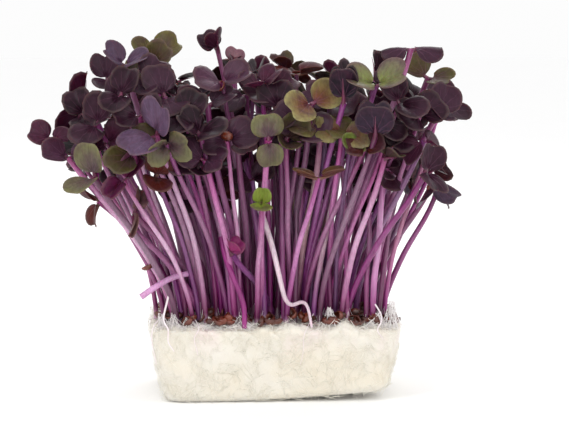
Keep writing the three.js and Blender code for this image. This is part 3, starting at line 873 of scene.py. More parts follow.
def strands(name, lines, sides, material):
    """Round strands along lines. Each line is its places, its radii and its colours."""
    places = np.concatenate([line[0] for line in lines])
    radii = np.concatenate([np.broadcast_to(line[1], len(line[0])) for line in lines])
    colours = np.concatenate([np.broadcast_to(line[2], (len(line[0]), 4)) for line in lines])
    edges, first = [], 0
    for line in lines:
        last = first + len(line[0])
        edges += [(k, k + 1) for k in range(first, last - 1)]
        first = last
    mesh = bpy.data.meshes.new(name + "_lines")
    mesh.from_pydata((places * MILLIMETRE).tolist(), edges, [])
    mesh.attributes.new("thick", "FLOAT", "POINT").data.foreach_set("value", radii * MILLIMETRE)
    mesh.attributes.new("skin", "FLOAT_COLOR", "POINT").data.foreach_set("color", colours.ravel())
    source = bpy.data.objects.new(name + "_lines", mesh)
    bpy.context.scene.collection.objects.link(source)
    piece = through_tree(name, source, STRANDS, {"Sides": sides, "Material": material})
    bpy.data.objects.remove(source)
    return piece


def plant_skin_group():
    """Plant skin: a little lighter and darker in patches, with fine streaks along its length."""
    inputs = [("Vector", "Vector", None), ("Colour", "Color", None), ("Patches", "Float", 300.0)]
    outputs = [("Colour", "Color"), ("Height", "Float")]
    group, given, made = new_group("Plant skin", inputs + [("Streaks", "Float", 2600.0)], outputs)
    patch = speckle(group, given["Vector"], given["Patches"], 3.0)
    streak = speckle(group, stretched(group, given["Vector"], (1.0, 1.0, 0.05)), given["Streaks"], 2.0)
    light = spread(group, patch, 0.3, 0.7, 0.0, 0.3)
    shade = spread(group, streak, 0.35, 0.6, 0.28, 0.0)
    lit = mixed(group, light, given["Colour"], (1.0, 0.92, 0.96, 1.0), "SOFT_LIGHT")
    dark = mixed(group, shade, lit, (0.25, 0.12, 0.2, 1.0), "MULTIPLY")
    group.links.new(dark, made["Colour"])
    height = arithmetic(group, "ADD", streak, arithmetic(group, "MULTIPLY", patch, 0.6))
    group.links.new(height, made["Height"])
    return group


PLANT_SKIN = plant_skin_group()


def stem_finish():
    """A thin juicy skin over the colours that the mesh carries."""
    soft = {"Subsurface_Weight": 0.35, "Subsurface_Scale": 0.0012, "Subsurface_Radius": (1.0, 0.35, 0.6)}
    material, tree, shader = new_finish("stem skin", Coat_Weight=0.2, Coat_Roughness=0.22, **soft)
    inputs = {"Vector": on_object(tree), "Colour": attribute(tree, "skin", "Color")}
    skin = group_outputs(tree, PLANT_SKIN, inputs | {"Patches": 260.0, "Streaks": 2400.0})
    covered(tree, shader, skin["Colour"], spread(tree, skin["Height"], 0.4, 1.2, 0.3, 0.46))
    raised(tree, shader, skin["Height"], 0.5, 0.12)
    return material


def stem_colours(shares, pale, tint):
    """The colours up a stem, paler and tinted about its middle."""
    colours = along_tones(shares, STEM_TONES)
    middle = np.clip(np.sin(np.pi * np.clip(shares * 1.15 - 0.1, 0, 1)), 0, 1)[:, None]
    return colours * (1 - pale * middle) + tint * (pale * middle)


draw = seeded_draws(STEM_SEED)
stem_lines, stalk_lines = [], []
for index, sprout in enumerate(standing):
    line = stem_line(sprout["root"], sprout["tip"], sprout["bow"], STEM_POINTS)
    shares = np.linspace(0, 1, STEM_POINTS + 1)
    phase = between(0, 6)
    sway = 0.3 * np.sin(np.pi * shares) ** 2
    line[:, 0] += sway * np.sin(9 * shares + phase)
    line[:, 1] += sway * np.cos(8 * shares + phase)
    size = STEM_RADIUS * between(0.86, 1.12) * (FILLER_SIZE if index >= solid_sprouts else 1)
    radii = size * np.interp(shares, *STEM_TAPER)
    pale = max(0.0, between(-0.4, 0.9))
    tint = PALE_TONES[0 if draw() < 0.88 else 1]
    vivid = VIVID_TONES[0 if draw() < 0.5 else 1]
    keep = max(0.0, between(-0.4, 0.7))
    colours = (stem_colours(shares, pale, tint) * (1 - keep) + vivid * keep) * between(0.32, 1.08)
    colours[:, 3] = 1
    stem_lines.append((line, radii, colours))
    below = line[-2] * 0.35 + line[-1] * 0.65
    for leaf in sprout["leaves"]:
        rib = on_leaf(leaf, RIB_PLACES * leaf["stalk"], 0.0, -0.3)
        path = np.concatenate([[below], rib])
        colour = STALK_TONE * between(0.8, 1.4)
        if sprout["colouring"] in ("brown", "rust", "fresh"):
            colour = BROWN_STALK_TONE
        stalk_lines.append((path, RIB_SIZES * size, np.append(colour[:3], 1)))

stem_skin = stem_finish()
all_sprouts = [f"sprouts_{number + 1:02d}" for number in range(ROWS * COLUMNS)]
stems = strands("stems", stem_lines, STEM_SIDES, stem_skin)
stalks = strands("leaf_stalks", stalk_lines, RIB_SIDES, stem_skin)
for piece in (stems, stalks):
    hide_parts(*all_sprouts)
    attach(piece, "root")

# Among them lie loose ones: a broken stem that leans out at the left, a pale one that has curled down on to
# the pad, and a short bright one that leans. Each has its places, its two radii and its colour.
BROKEN = [(-40.4, -30, 33.2), (-36.2, -29, 36), (-31.2, -26, 38.3), (-25.9, -22, 39.2)]
CURLED = [
    (-6, -17, 62), (-4.2, -20, 56.4), (-1.4, -24, 47.7), (0.6, -26.5, 39), (2.3, -27.3, 32.2),
    (4.3, -27.8, 30.2), (7.3, -27.6, 31), (9.1, -27, 29.3), (10.4, -25.9, 23.2),
]
SHORT = [(-16.5, -22, 50), (-15.4, -24, 44.8), (-13.4, -26, 39.1), (-10.1, -25.5, 30.6), (-9.6, -24.8, 22.9)]
LOOSE_STEMS = [
    (BROKEN, 0.95, 0.85, (206, 150, 196)),
    (CURLED, 1.0, 0.4, (226, 204, 214)),
    (SHORT, 0.85, 0.8, (150, 34, 122)),
]
LOOSE_POINTS = 26


def smooth_path(points, count):
    """A smooth line through points."""
    points = np.array(points, float)
    padded = np.concatenate([[2 * points[0] - points[1]], points, [2 * points[-1] - points[-2]]])
    path = []
    for t in np.linspace(0, len(points) - 1 - 1e-9, count):
        k, f = int(t), t - int(t)
        a, b, c, d = padded[k : k + 4]
        bend = 2 * a - 5 * b + 4 * c - d
        twist = 3 * b - 3 * c + d - a
        path.append(0.5 * (2 * b + (c - a) * f + bend * f**2 + twist * f**3))
    return np.array(path)


loose_lines = []
for points, thick, thin, colour in LOOSE_STEMS:
    path = smooth_path(points, LOOSE_POINTS)
    shares = np.linspace(0, 1, len(path))[:, None]
    colours = np.array(tone(*colour)) * (0.85 + 0.15 * np.sin(7 * shares))
    colours[:, 3] = 1
    loose_lines.append((path, np.linspace(thick, thin, len(path)), colours))
loose = strands("loose_stems", loose_lines, STEM_SIDES, stem_skin)
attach(loose, "root")


# Seed leaves
# Each seedling holds up two broad, two-lobed seed leaves: thin, waxy blades folded along the midrib, with a
# pale rim and a few veins that fan out from the stalk. Most are aubergine or dusky purple, some are green.

# Each colouring's tones: the middle of the blade, its edge and its underside.
LEAF_TONES = {
    "aubergine": ((56, 23, 43), (44, 17, 33), (72, 24, 48)),
    "dusky": ((90, 54, 78), (74, 42, 60), (106, 48, 80)),
    # The slate tones are greyish lavender: partly the blade's own colour, partly painted sheen.
    "slate": ((112, 88, 116), (94, 72, 98), (112, 68, 98)),
    "night": ((50, 40, 58), (38, 28, 42), (52, 34, 52)),
    "plum": ((92, 38, 66), (72, 32, 54), (120, 42, 84)),
    "olive": ((90, 66, 52), (104, 102, 48), (104, 90, 60)),
    "sage": ((100, 82, 84), (122, 124, 78), (112, 98, 84)),
    "green": ((160, 176, 92), (128, 106, 104), (164, 176, 108)),
    "fresh": ((138, 158, 58), (120, 140, 50), (140, 156, 80)),
    "autumn": ((132, 62, 50), (182, 178, 112), (156, 158, 104)),
    "rust": ((96, 38, 28), (74, 30, 26), (128, 54, 40)),
    "brown": ((104, 60, 34), (128, 96, 52), (116, 66, 46)),
    "blush": ((150, 112, 120), (132, 92, 106), (160, 112, 128)),
    "magenta": ((148, 42, 104), (112, 34, 84), (156, 52, 110)),
    "withered": ((160, 122, 118), (132, 92, 88), (168, 130, 128)),
}
# How common each colouring is among the seedlings of the crowd.
SHARES = {"aubergine": 9, "dusky": 7, "slate": 3, "plum": 4, "olive": 2, "rust": 2, "sage": 1}
COMMON = [colouring for colouring, share in SHARES.items() for _ in range(share)]
# The blades that show best, most of them at the front, are lighter and the blades of the crowd darker:
# partly their own differing tone, partly painted light on the first and painted shade on the crowd.
SHOWN_TONE_AND_PAINTED_LIGHT = (0.36, 0.78)  # from the darkest to the lightest blade, as shares of its tones
CROWD_TONE_AND_PAINTED_SHADE = (0.08, 0.44)
SHOWN_SCALE = 1.02  # how large the blades are, as a share of the solid ones
CROWD_SCALE = 1.16
LEAF_SEED = 977
LEAF_HALF = 0.17  # half a blade's thickness
BLADE_START = 0.5  # where the blade begins, as a share of the stalk
BLADE_BLUNT = 0.58
BLADE_NOTCH = 17
BLADE_EDGE = 94  # how far round its stalk's end a blade reaches, in degrees
FINE = (np.linspace(-BLADE_EDGE, BLADE_EDGE, 23), np.array([0.28, 0.52, 0.74, 0.9, 1.0]))
PLAIN = (np.linspace(-BLADE_EDGE, BLADE_EDGE, 13), np.array([0.45, 0.85, 1.0]))
FULL_TURN = 6.28
# What differs from blade to blade: the waves of its margin, how it cups and droops, and its outline.
RIPPLES = {
    "amount": (0.1, 0.6),
    "phase": (0, FULL_TURN),
    "waves": (2.0, 3.6),
    "cup": (-0.4, 1.1),
    "droop": (-0.9, 1.3),
    "notch": (0.1, 0.32),
    "lean": (-0.09, 0.09),
    "width": (0.84, 1.06),
}


def blade_faces(across, rings):
    """Faces of one closed blade: the upper skin, the lower skin and the rim that joins them."""

    def at(ring, column):
        return 1 + ring * across + column

    upper = [(0, at(0, j), at(0, j + 1)) for j in range(across - 1)]
    for ring in range(rings - 1):
        for j in range(across - 1):
            upper.append((at(ring, j), at(ring + 1, j), at(ring + 1, j + 1), at(ring, j + 1)))
    under = 1 + rings * across
    lower = [tuple(k + under for k in reversed(face)) for face in upper]
    border = [0] + [at(ring, 0) for ring in range(rings)]
    border += [at(rings - 1, j) for j in range(1, across)]
    border += [at(ring, across - 1) for ring in reversed(range(rings - 1))]
    rim = []
    for here, after in zip(border, border[1:] + border[:1]):
        rim.append((here, here + under, after + under, after))
    return upper + lower + rim


def blade(leaf, grid, tones, ripple, scale):
    """One seed leaf: its places, flat places, colours and how near each place is to the rim."""
    angles, rings = grid
    turn, ring = np.meshgrid(np.radians(angles), rings)
    degrees = np.degrees(turn)
    notch = ripple["notch"] * ring**2.5
    reach = ring * scale * margin(leaf["length"], degrees, notch, BLADE_BLUNT, BLADE_NOTCH)
    reach = reach * (1 + ripple["lean"] * np.sin(turn))
    base = leaf["stalk"] * BLADE_START
    u = np.append(base, (base + reach * np.cos(turn)).ravel())
    v = np.append(0.0, (reach * ripple["width"] * np.sin(turn)).ravel())
    out = np.append(0.0, ring.ravel())
    around = np.append(0.0, turn.ravel())
    wave = ripple["amount"] * out**2 * np.sin(ripple["waves"] * around + ripple["phase"])
    wave = wave - ripple["droop"] * out**3
    dish = ripple["cup"] * np.sin(np.pi * out * 0.8) * np.abs(np.sin(around))
    half = LEAF_HALF * (1.15 - 0.75 * out**3)
    soft = 0.12 * leaf["length"]
    places = [on_leaf(leaf, u, v + 1e-6, wave + dish + sign * half, soft) for sign in (1, -1)]
    flat = np.stack([(u - base) / leaf["length"], v / leaf["length"]], axis=1)
    centre, edge, under = (np.array(tone(*colour)) for colour in tones)
    blend = (out**1.6)[:, None]
    top = centre * (1 - blend) + edge * blend
    colours = np.concatenate([top, np.broadcast_to(under, top.shape) * 0.7 + top * 0.3])
    near_rim = np.clip((out - 0.9) / 0.1, 0, 1)
    return np.concatenate(places), np.tile(flat, (2, 1)), colours, np.tile(near_rim, 2)


def leaf_veins_group():
    """Veins that fan out from the stalk over a blade's own flat places, finer towards the rim."""
    inputs = [("Flat", "Vector", None), ("Veins", "Float", 7.0)]
    group, given, made = new_group("Leaf veins", inputs, [("Vein", "Float")])
    wavy = speckle(group, given["Flat"], 5.0, 2.0)
    apart = place_node(group, "ShaderNodeSeparateXYZ", {0: given["Flat"]}).outputs
    angle = arithmetic(group, "ARCTAN2", apart[1], arithmetic(group, "ADD", apart[0], 0.04))
    bent = arithmetic(group, "ADD", angle, arithmetic(group, "MULTIPLY", wavy, 0.22))
    turns = arithmetic(group, "MULTIPLY", bent, arithmetic(group, "DIVIDE", given["Veins"], math.pi))
    gap = arithmetic(group, "PINGPONG", turns, 0.5)
    reach = place_node(group, "ShaderNodeVectorMath", {0: given["Flat"]}, operation="LENGTH")
    length = reach.outputs["Value"]
    width = arithmetic(group, "MULTIPLY", gap, length)
    line = spread(group, width, 0.0, 0.045, 1.0, 0.0)
    fade = spread(group, length, 0.1, 0.95, 1.0, 0.25)
    group.links.new(arithmetic(group, "MULTIPLY", line, fade), made["Vein"])
    return group


def leaf_finish():
    """Waxy skin over the colours that the mesh carries, clouded with purple, with pale veins and rim."""
    shine = {"Coat_Weight": 0.07, "Coat_Roughness": 0.16, "Specular_IOR_Level": 0.12}
    thin = {"Subsurface_Weight": 0.12, "Subsurface_Scale": 0.0008, "Subsurface_Radius": (1.0, 0.3, 0.25)}
    material, tree, shader = new_finish("seed leaf", **shine, **thin)
    where = on_object(tree)
    inputs = {"Vector": where, "Colour": attribute(tree, "skin", "Color")}
    skin = group_outputs(tree, PLANT_SKIN, inputs | {"Patches": 420.0, "Streaks": 1500.0})
    flat = output_of(tree, "ShaderNodeUVMap", uv_map="flat")
    vein = group_outputs(tree, leaf_veins_group(), {"Flat": flat})["Vein"]
    mottle = speckle(tree, where, 700.0, 4.0)
    mottled = spread(tree, mottle, 0.4, 0.75, 0.0, 0.35)
    colour = mixed(tree, mottled, skin["Colour"], tone(150, 130, 130), "SOFT_LIGHT")
    cloud = speckle(tree, where, 210.0, 3.0, 0.5)
    colour = mixed(tree, spread(tree, cloud, 0.45, 0.7, 0.0, 0.6), colour, tone(62, 34, 50))
    colour = mixed(tree, arithmetic(tree, "MULTIPLY", vein, 0.22), colour, tone(136, 84, 112))
    rim = arithmetic(tree, "MULTIPLY", attribute(tree, "rim", "Fac"), 0.09)
    colour = mixed(tree, rim, colour, tone(186, 160, 150))
    covered(tree, shader, colour, spread(tree, mottle, 0.3, 0.7, 0.34, 0.5))
    grain = arithmetic(tree, "MULTIPLY", speckle(tree, where, 2600.0, 2.0), 0.35)
    height = arithmetic(tree, "SUBTRACT", grain, vein)
    height = arithmetic(tree, "ADD", height, arithmetic(tree, "MULTIPLY", mottle, 0.8))
    raised(tree, shader, height, 0.5, 0.16)
    return material


def leaves(name, scale, sprouts, grid, material):
    """All the seed leaves of some sprouts as one piece."""
    faces = blade_faces(len(grid[0]), len(grid[1]))
    count = 2 * (1 + len(grid[0]) * len(grid[1]))
    parts, squares = [], []
    for sprout in sprouts:
        tones = LEAF_TONES[sprout["colouring"] or COMMON[int(draw() * len(COMMON))]]
        # How light a blade is: partly its own tone, partly painted light on the blades that show best and
        # painted shade on the crowd.
        lightness = between(*(SHOWN_TONE_AND_PAINTED_LIGHT if sprout["colouring"] else CROWD_TONE_AND_PAINTED_SHADE))
        for leaf in sprout["leaves"]:
            ripple = {part: between(*span) for part, span in RIPPLES.items()}
            ripple["width"] *= sprout.get("narrow", 1)
            first = len(parts) * count
            parts.append(blade(leaf, grid, tones, ripple, scale))
            parts[-1][2][:, :3] *= lightness
            squares += [tuple(k + first for k in face) for face in faces]
    places, flat, colours, rim = (np.concatenate([part[k] for part in parts]) for k in range(4))
    piece = new_piece(name, places, squares, material)
    mesh = piece.data
    mesh.attributes.new("skin", "FLOAT_COLOR", "POINT").data.foreach_set("color", colours.ravel())
    mesh.attributes.new("rim", "FLOAT", "POINT").data.foreach_set("value", rim)
    corner_places = np.zeros(len(mesh.loops), int)
    mesh.loops.foreach_get("vertex_index", corner_places)
    mesh.uv_layers.new(name="flat").data.foreach_set("uv", flat[corner_places].ravel())
    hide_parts(*all_sprouts)
    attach(piece, "root")
    return piece


draw = seeded_draws(LEAF_SEED)
for index, share in NARROW.items():
    standing[index]["narrow"] = share
seed_leaf = leaf_finish()
leaves("seed_leaves_shown", SHOWN_SCALE, standing[: len(SHOWN)], FINE, seed_leaf)
leaves("seed_leaves_crowd", CROWD_SCALE, standing[len(SHOWN) :], PLAIN, seed_leaf)


# Root crowns and root hairs
# Where a seedling stands, its roots have felted into a low white tuft with the wadding. Fine hairs climb the
# foot of the stems and spread over the top of the pad, and some roots trail down its face.

CROWN_RADIUS = 2.4
CROWN_SIDES = 12
CROWN_SEED = 1203
# Rings of a tuft from the foot up: height over the pad's top, and width as a share of the radius.
CROWN_RINGS = [(-5.4, 0.9), (-1.0, 1.0), (0.15, 0.95), (0.65, 0.62), (0.9, 0.28)]


def crown_mounds():
    """Low round tufts, uneven in width and height, one to each crown."""
    places, faces = [], []
    for x, y, _ in crowns:
        first = len(places)
        for rise, wide in CROWN_RINGS:
            for side in range(CROWN_SIDES):
                turn = 2 * math.pi * side / CROWN_SIDES
                radius = CROWN_RADIUS * wide * between(0.84, 1.06)
                lift = PAD_HEIGHT + rise + (between(-0.12, 0.12) if rise > 0 else 0)
                places.append((x + radius * math.cos(turn), y + radius * math.sin(turn), lift))
        for ring in range(len(CROWN_RINGS) - 1):
            for side in range(CROWN_SIDES):
                a = first + ring * CROWN_SIDES + side
                b = first + ring * CROWN_SIDES + (side + 1) % CROWN_SIDES
                faces.append((a, b, b + CROWN_SIDES, a + CROWN_SIDES))
        faces.append([first + side for side in reversed(range(CROWN_SIDES))])
        last = first + (len(CROWN_RINGS) - 1) * CROWN_SIDES
        faces.append([last + side for side in range(CROWN_SIDES)])
    return places, faces


def crown_finish():
    """The pad's matted fibres again, finer and tinged with pink."""
    soft = {"Sheen_Weight": 0.3, "Subsurface_Weight": 0.3, "Subsurface_Scale": 0.002}
    material, tree, shader = new_finish("felted roots", **soft)
    where = on_object(tree)
    fibres = group_outputs(tree, MATTED_FIBRES, {"Vector": where, "Fibre": 1400.0, "Clump": 420.0})
    tinge = spread(tree, speckle(tree, where, 260.0), 0.4, 0.7, 0.0, 0.8)
    colour = mixed(tree, tinge, tone(238, 230, 222), tone(196, 142, 168))
    covered(tree, shader, colour, spread(tree, fibres["Shade"], 0.0, 1.0, 0.95, 0.8))
    raised(tree, shader, fibres["Height"], 1.0, 0.4)
    return material


draw = seeded_draws(CROWN_SEED)
crown_tufts = new_piece("root_crowns", *crown_mounds(), crown_finish())
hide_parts(*all_sprouts)
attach(crown_tufts, "root")

HAIRS_EACH = 9
HAIR_RADIUS = 0.055
HAIR_SIDES = 3
HAIR_CLIMB = 40  # pieces that a stem is cut into, to find places on its foot
BRIM_WISPS = 200
WISP_Y = -25.4
WISP_Z = 22.9
# Where tufts of hair hang over the front of the brim, sideways and in height.
BUNDLES = [
    (-34.5, 27.5), (-31, 27.5), (-26.5, 26.4), (-19.6, 26.2),
    (-10.5, 26.6), (16.2, 29), (30.5, 27.5), (34.6, 31),
]
HAIRS_IN_BUNDLE = 44
BUNDLE_Y = -23.6
BUNDLE_FOOT = 23.6
WISP_FRONT = -26.5  # how far forward a hair may lie
BUNDLE_FRONT = -26.4
HAIR_TONE = np.array(tone(250, 246, 240))
PINK_HAIR_TONE = np.array(tone(214, 150, 190))
WISP_TONE = np.array(tone(252, 247, 238))
BUNDLE_TONE = np.array(tone(247, 240, 238))


def bowed(start, middle, end, count):
    """A line that bows from its start to its end, drawn towards its middle place."""
    t = np.linspace(0, 1, count)[:, None]
    return (1 - t) ** 2 * start + 2 * t * (1 - t) * middle + t * t * end


hair_lines = []
for sprout in standing:
    foot = stem_line(sprout["root"], sprout["tip"], sprout["bow"], HAIR_CLIMB)
    for _ in range(HAIRS_EACH):
        climb = foot[1 + int(3.2 * draw() ** 1.6)] + (0, 0, between(-0.3, 0.9))
        turn, out = between(0, 2 * math.pi), between(1.4, 4.2)
        way = np.array([math.cos(turn), math.sin(turn), 0])
        low = np.array([*sprout["root"], PAD_HEIGHT]) + way * out + (0, 0, between(-0.3, 0.5))
        middle = (climb + low) / 2 + (0, 0, between(-0.9, 0.3)) + way * between(-0.8, 0.2)
        path = bowed(climb + way * STEM_RADIUS * 0.7, middle, low, 4)
        pink = between(0, 0.35)
        colour = HAIR_TONE * (1 - pink) + PINK_HAIR_TONE * pink
        hair_lines.append((path, HAIR_RADIUS * between(0.6, 1.3), colour))
for _ in range(BRIM_WISPS):
    x = between(-1, 1) * (PAD_WIDTH / 2 - 1.5)
    start = np.array([x, WISP_Y + between(-0.7, 2.2), WISP_Z + between(-0.7, 0.6)])
    end = start + (between(-3, 3), between(-0.6, 0.3), between(-1.6, 2.3))
    end[1] = max(end[1], WISP_FRONT)
    middle = (start + end) / 2 + (between(-1, 1), between(-0.5, 0.1), between(0, 1))
    hair_lines.append((bowed(start, middle, end, 4), between(0.04, 0.1), WISP_TONE))
for x, z in BUNDLES:
    for _ in range(HAIRS_IN_BUNDLE):
        turn, out = between(-2.9, -0.2), between(1.0, 5.0)
        start = np.array([x + between(-0.9, 0.9), BUNDLE_Y + between(-0.4, 0.4), z - 3.4 * draw() ** 1.4])
        front = max(-24 + out * 0.6 * math.sin(turn), BUNDLE_FRONT)
        end = np.array([x + out * math.cos(turn), front, BUNDLE_FOOT - between(0, 1.6)])
        middle = (start + end) / 2 + (between(-0.8, 0.8), between(-0.3, 0.3), between(-1.2, 0.2))
        path = bowed(start, middle, end, 5)
        hair_lines.append((path, between(0.05, 0.1), BUNDLE_TONE * between(0.8, 1)))


def hair_finish():
    """White root hair, tinged with the colours that the mesh carries."""
    material, tree, shader = new_finish("root hair", Specular_IOR_Level=0.4, Sheen_Weight=0.2)
    shade = speckle(tree, on_object(tree), 300.0)
    paler = spread(tree, shade, 0.3, 0.7, 0.0, 0.4)
    colour = mixed(tree, paler, attribute(tree, "skin", "Color"), (1, 1, 1, 1))
    covered(tree, shader, colour, spread(tree, shade, 0.3, 0.7, 0.6, 0.8))
    return material


root_hair = hair_finish()
hairs = strands("root_hairs", hair_lines, HAIR_SIDES, root_hair)
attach(hairs, "root")

# Roots that trail down over the brim, each from a stem near its first place, and how thick each starts.
THICKEST = [
    (-33.1, -24, 31.4), (-34, -25.8, 26.3), (-32.2, -26.5, 22.8), (-32.5, -26.4, 18.9), (-30.8, -26.2, 16.2),
]
TRAILING = [
    (THICKEST, 0.34),
    ([(-35.5, -23, 27), (-36.8, -24.5, 23.5), (-37, -24.8, 17), (-36.2, -25, 12)], 0.24),
    ([(-24, -24, 26), (-23.4, -26.3, 23), (-24.6, -26.6, 19.5), (-23.8, -26.4, 15)], 0.18),
    ([(8.6, -25, 25), (8.6, -26.6, 22.4), (8, -26.7, 17.9), (6.8, -26.4, 11.9)], 0.14),
    ([(30.6, -24, 30), (31.4, -25.8, 25.5), (30.2, -26.6, 22), (31.6, -26.5, 19.5)], 0.26),
    ([(36.6, 8, 27), (37.6, 8.4, 22.5), (37.3, 9.5, 17), (37, 8.6, 13)], 0.22),
    ([(-12, 25, 26), (-12.4, 26.4, 22.5), (-11.6, 26.4, 17), (-12.6, 26, 13)], 0.22),
    ([(-36.8, -4, 27), (-37.6, -4.4, 22.5), (-37.2, -3.2, 17.5)], 0.24),
]
TRAILING_TONE = np.array(tone(238, 222, 226))
TRAILING_POINTS = 22
TRAILING_SIDES = 6
trailing_lines = []
stem_places = np.concatenate([line[0] for line in stem_lines])
for points, thick in TRAILING:
    away = np.linalg.norm(stem_places - points[0], axis=1)
    path = smooth_path([stem_places[away.argmin()], *points[1:]], TRAILING_POINTS)
    path[:, 0] += 0.25 * np.sin(np.linspace(0, 9, TRAILING_POINTS))
    trailing_lines.append((path, np.linspace(thick, thick * 0.4, TRAILING_POINTS), TRAILING_TONE))
trailing = strands("trailing_roots", trailing_lines, TRAILING_SIDES, root_hair)
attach(trailing, "root")


# Seed hulls
# Spent coats of the seeds: thin brown shells about 4 mm long, split open where the leaves pushed out. Most
# lie on the pad round the feet of the stems, and a few were carried up and still cling to them.

HULL_HALVES = np.array([2.15, 1.6, 1.3])
HULL_WALL = 0.16
HULL_RINGS = 6
HULL_SIDES = 10
HULL_SEED = 3331
SCATTERED_HULLS = 190
HULL_REACH = 1.6  # how far a carried hull's middle is from the stem that holds it
FRONT_HULLS = [
    (-26.9, -24.4), (-13.8, -23.6), (-4.9, -24.6), (9.6, -24.2), (29.8, -23.2),
    (31.6, -22.2), (36.0, -21.5), (-28.6, -19.0), (-15.5, -18.5), (-9.0, -21.5),
]
CARRIED_HULLS = [
    (-48.2, -27.5, 86.5), (-16.8, -25, 95.2), (-15.4, -36, 86.8), (46.5, -27.6, 63.6), (-41, -25, 39.7),
]


def hull_shell(middle, turns, opening, size):
    """A split shell: a wall of even thickness, with a ragged mouth."""
    places = []
    ragged = [opening * between(0.86, 1.1) for _ in range(HULL_SIDES)]
    dents = [between(0.9, 1.08) for _ in range(HULL_SIDES)]
    for wall in (0, HULL_WALL):
        places.append((0, 0, -(HULL_HALVES[2] - wall)))
        for ring in range(1, HULL_RINGS):
            for side in range(HULL_SIDES):
                turn = 2 * math.pi * side / HULL_SIDES
                tilt = ragged[side] * ring / (HULL_RINGS - 1)
                dent = 1 - (1 - dents[side]) * math.sin(tilt)
                flat = math.sin(tilt) * dent
                long, wide, deep = HULL_HALVES - wall
                x, y = long * flat * math.cos(turn), wide * flat * math.sin(turn)
                places.append((x, y, -deep * math.cos(tilt)))
    per_wall = 1 + (HULL_RINGS - 1) * HULL_SIDES
    faces = []
    for base, outer in ((0, True), (per_wall, False)):
        for side in range(HULL_SIDES):
            after = (side + 1) % HULL_SIDES
            skin = [(base, base + 1 + after, base + 1 + side)]
            for ring in range(HULL_RINGS - 2):
                a = base + 1 + ring * HULL_SIDES
                skin.append((a + side, a + after, a + after + HULL_SIDES, a + side + HULL_SIDES))
            faces += skin if outer else [tuple(reversed(face)) for face in skin]
    mouth = 1 + (HULL_RINGS - 2) * HULL_SIDES
    for side in range(HULL_SIDES):
        after = (side + 1) % HULL_SIDES
        faces.append((mouth + side, mouth + after, per_wall + mouth + after, per_wall + mouth + side))
    roll, pitch, yaw = turns
    cos, sin = math.cos, math.sin
    about_x = np.array([(1, 0, 0), (0, cos(roll), -sin(roll)), (0, sin(roll), cos(roll))])
    about_y = np.array([(cos(pitch), 0, sin(pitch)), (0, 1, 0), (-sin(pitch), 0, cos(pitch))])
    about_z = np.array([(cos(yaw), -sin(yaw), 0), (sin(yaw), cos(yaw), 0), (0, 0, 1)])
    turned = (np.array(places) * size) @ (about_z @ about_y @ about_x).T
    return turned + middle, faces


def hull_finish():
    """A brown, pitted and slightly shiny seed coat, its pits darkened with painted shade."""
    shine = {"Coat_Weight": 0.4, "Coat_Roughness": 0.2, "Subsurface_Weight": 0.1, "Subsurface_Scale": 0.001}
    material, tree, shader = new_finish("seed hull", **shine)
    where = on_object(tree)
    patch = speckle(tree, where, 210.0, 4.0, 0.5)
    pits = place_node(tree, "ShaderNodeTexVoronoi", {"Vector": where, "Scale": 2600.0}).outputs["Distance"]
    colour = mixed(tree, spread(tree, patch, 0.35, 0.65), tone(46, 18, 12), tone(118, 46, 20))
    # The pits are painted darker than the coat round them: painted shade in the hollows.
    colour = mixed(tree, spread(tree, pits, 0.1, 0.6, 0.4, 0.0), colour, tone(44, 18, 12))
    covered(tree, shader, colour, spread(tree, patch, 0.3, 0.7, 0.5, 0.34))
    raised(tree, shader, arithmetic(tree, "ADD", pits, patch), 0.6, 0.12)
    return material


draw = seeded_draws(HULL_SEED)
hull_places = []
for heap in HULL_HEAPS:
    for x, y, turn in heap:
        turns = (between(-0.5, 0.9), between(-0.4, 0.4), math.radians(turn))
        hull_places.append(((x, y, HULL_MIDDLE), turns, 1.0))
for x, y in FRONT_HULLS:
    turns = (between(-0.9, 1.2), between(-0.6, 0.6), between(0, FULL_TURN))
    hull_places.append(((x, y, HULL_MIDDLE - 0.1), turns, between(0.92, 1.08)))
for _ in range(SCATTERED_HULLS):
    x = between(-1, 1) * (PAD_WIDTH / 2 - 2.2)
    y = between(-1, 1) * (PAD_DEPTH / 2 - 2)
    turns = (between(-1.5, 1.5), between(-0.7, 0.7), between(0, FULL_TURN))
    hull_places.append(((x, y, HULL_MIDDLE + between(-0.3, 1.9)), turns, between(0.85, 1.05)))
for middle in CARRIED_HULLS:
    away = np.array(middle) - stem_places
    nearest = away[np.linalg.norm(away, axis=1).argmin()]
    held = np.array(middle) - nearest * (1 - HULL_REACH / np.linalg.norm(nearest))
    turns = (between(-2, 2), between(-1, 1), between(0, FULL_TURN))
    hull_places.append((held, turns, 0.95))
places, faces = [], []
for middle, turns, size in hull_places:
    shell, skin = hull_shell(np.array(middle), turns, between(1.7, 2.5), size)
    first = sum(len(part) for part in places)
    places.append(shell)
    faces += [tuple(k + first for k in face) for face in skin]
hulls = new_piece("seed_hulls", np.concatenate(places), faces, hull_finish())
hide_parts(*[f"seed_hulls_{number + 1:02d}" for number in range(len(HULL_HEAPS))])
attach(hulls, "root")


# Table, light and camera
# The clump stands on a plain white table in a pale room. Four soft lights stand round it, the strongest at
# the left, and it is seen from a little above its middle.

VIEW_TARGET = Vector((3.6, 0, 54.1)) * MILLIMETRE
VIEW_DISTANCE = 0.62
VIEW_UP = math.radians(5.5)
VIEW_ROUND = math.radians(-3)
VIEW_WIDTH = math.radians(16.2)
SENSOR_WIDTH = 36
TABLE_HALF = 6000
ROOM_STRENGTH = 0.98
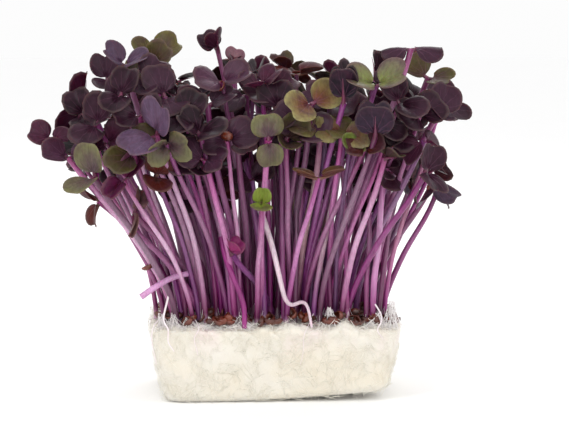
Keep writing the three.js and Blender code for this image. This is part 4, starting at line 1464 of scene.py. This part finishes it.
# Each light's place and size in metres, and its power in watts.
LIGHTS = {
    "light_left": ((-0.5, -0.55, 0.75), 0.5, 2.4),
    "light_right": ((0.65, -0.45, 0.5), 0.5, 1.0),
    "light_front": ((0.05, -0.9, 0.3), 0.6, 1.0),
    "light_back": ((0.1, 0.6, 0.7), 0.5, 1.6),
}


def table_finish():
    """A matt white top."""
    material, tree, shader = new_finish("table", Specular_IOR_Level=0.1)
    shade = speckle(tree, on_object(tree), 8.0)
    colour = mixed(tree, shade, tone(254, 254, 254), tone(255, 255, 255))
    covered(tree, shader, colour, spread(tree, shade, 0.3, 0.7, 0.85, 0.95))
    return material


table_corners = [(TABLE_HALF * x, TABLE_HALF * y, 0) for x, y in ((-1, -1), (1, -1), (1, 1), (-1, 1))]
table = new_piece("table", table_corners, [(0, 1, 2, 3)], table_finish())
table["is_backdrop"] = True

for name, (place, size, power) in LIGHTS.items():
    lamp = bpy.data.lights.new(name, "AREA")
    lamp.shape = "DISK"
    lamp.size = size
    lamp.energy = power
    light = bpy.data.objects.new(name, lamp)
    light.location = place
    light.rotation_euler = (VIEW_TARGET - Vector(place)).to_track_quat("-Z", "Y").to_euler()
    bpy.context.scene.collection.objects.link(light)

world = bpy.data.worlds.new("pale room")
world.use_nodes = True
background = world.node_tree.nodes["Background"]
background.inputs["Color"].default_value = (1, 1, 1, 1)
background.inputs["Strength"].default_value = ROOM_STRENGTH
bpy.context.scene.world = world
bpy.context.scene.view_settings.view_transform = "Standard"

camera_data = bpy.data.cameras.new("camera")
camera_data.sensor_width = SENSOR_WIDTH
camera_data.lens = SENSOR_WIDTH / 2 / math.tan(VIEW_WIDTH / 2)
camera_data.clip_start = 0.05
camera_data.clip_end = 20
camera = bpy.data.objects.new("camera", camera_data)
level = math.cos(VIEW_UP)
back = Vector((math.sin(VIEW_ROUND) * level, -math.cos(VIEW_ROUND) * level, math.sin(VIEW_UP)))
camera.location = VIEW_TARGET + back * VIEW_DISTANCE
camera.rotation_euler = (-back).to_track_quat("-Z", "Y").to_euler()
bpy.context.scene.collection.objects.link(camera)
bpy.context.scene.camera = camera

low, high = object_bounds()
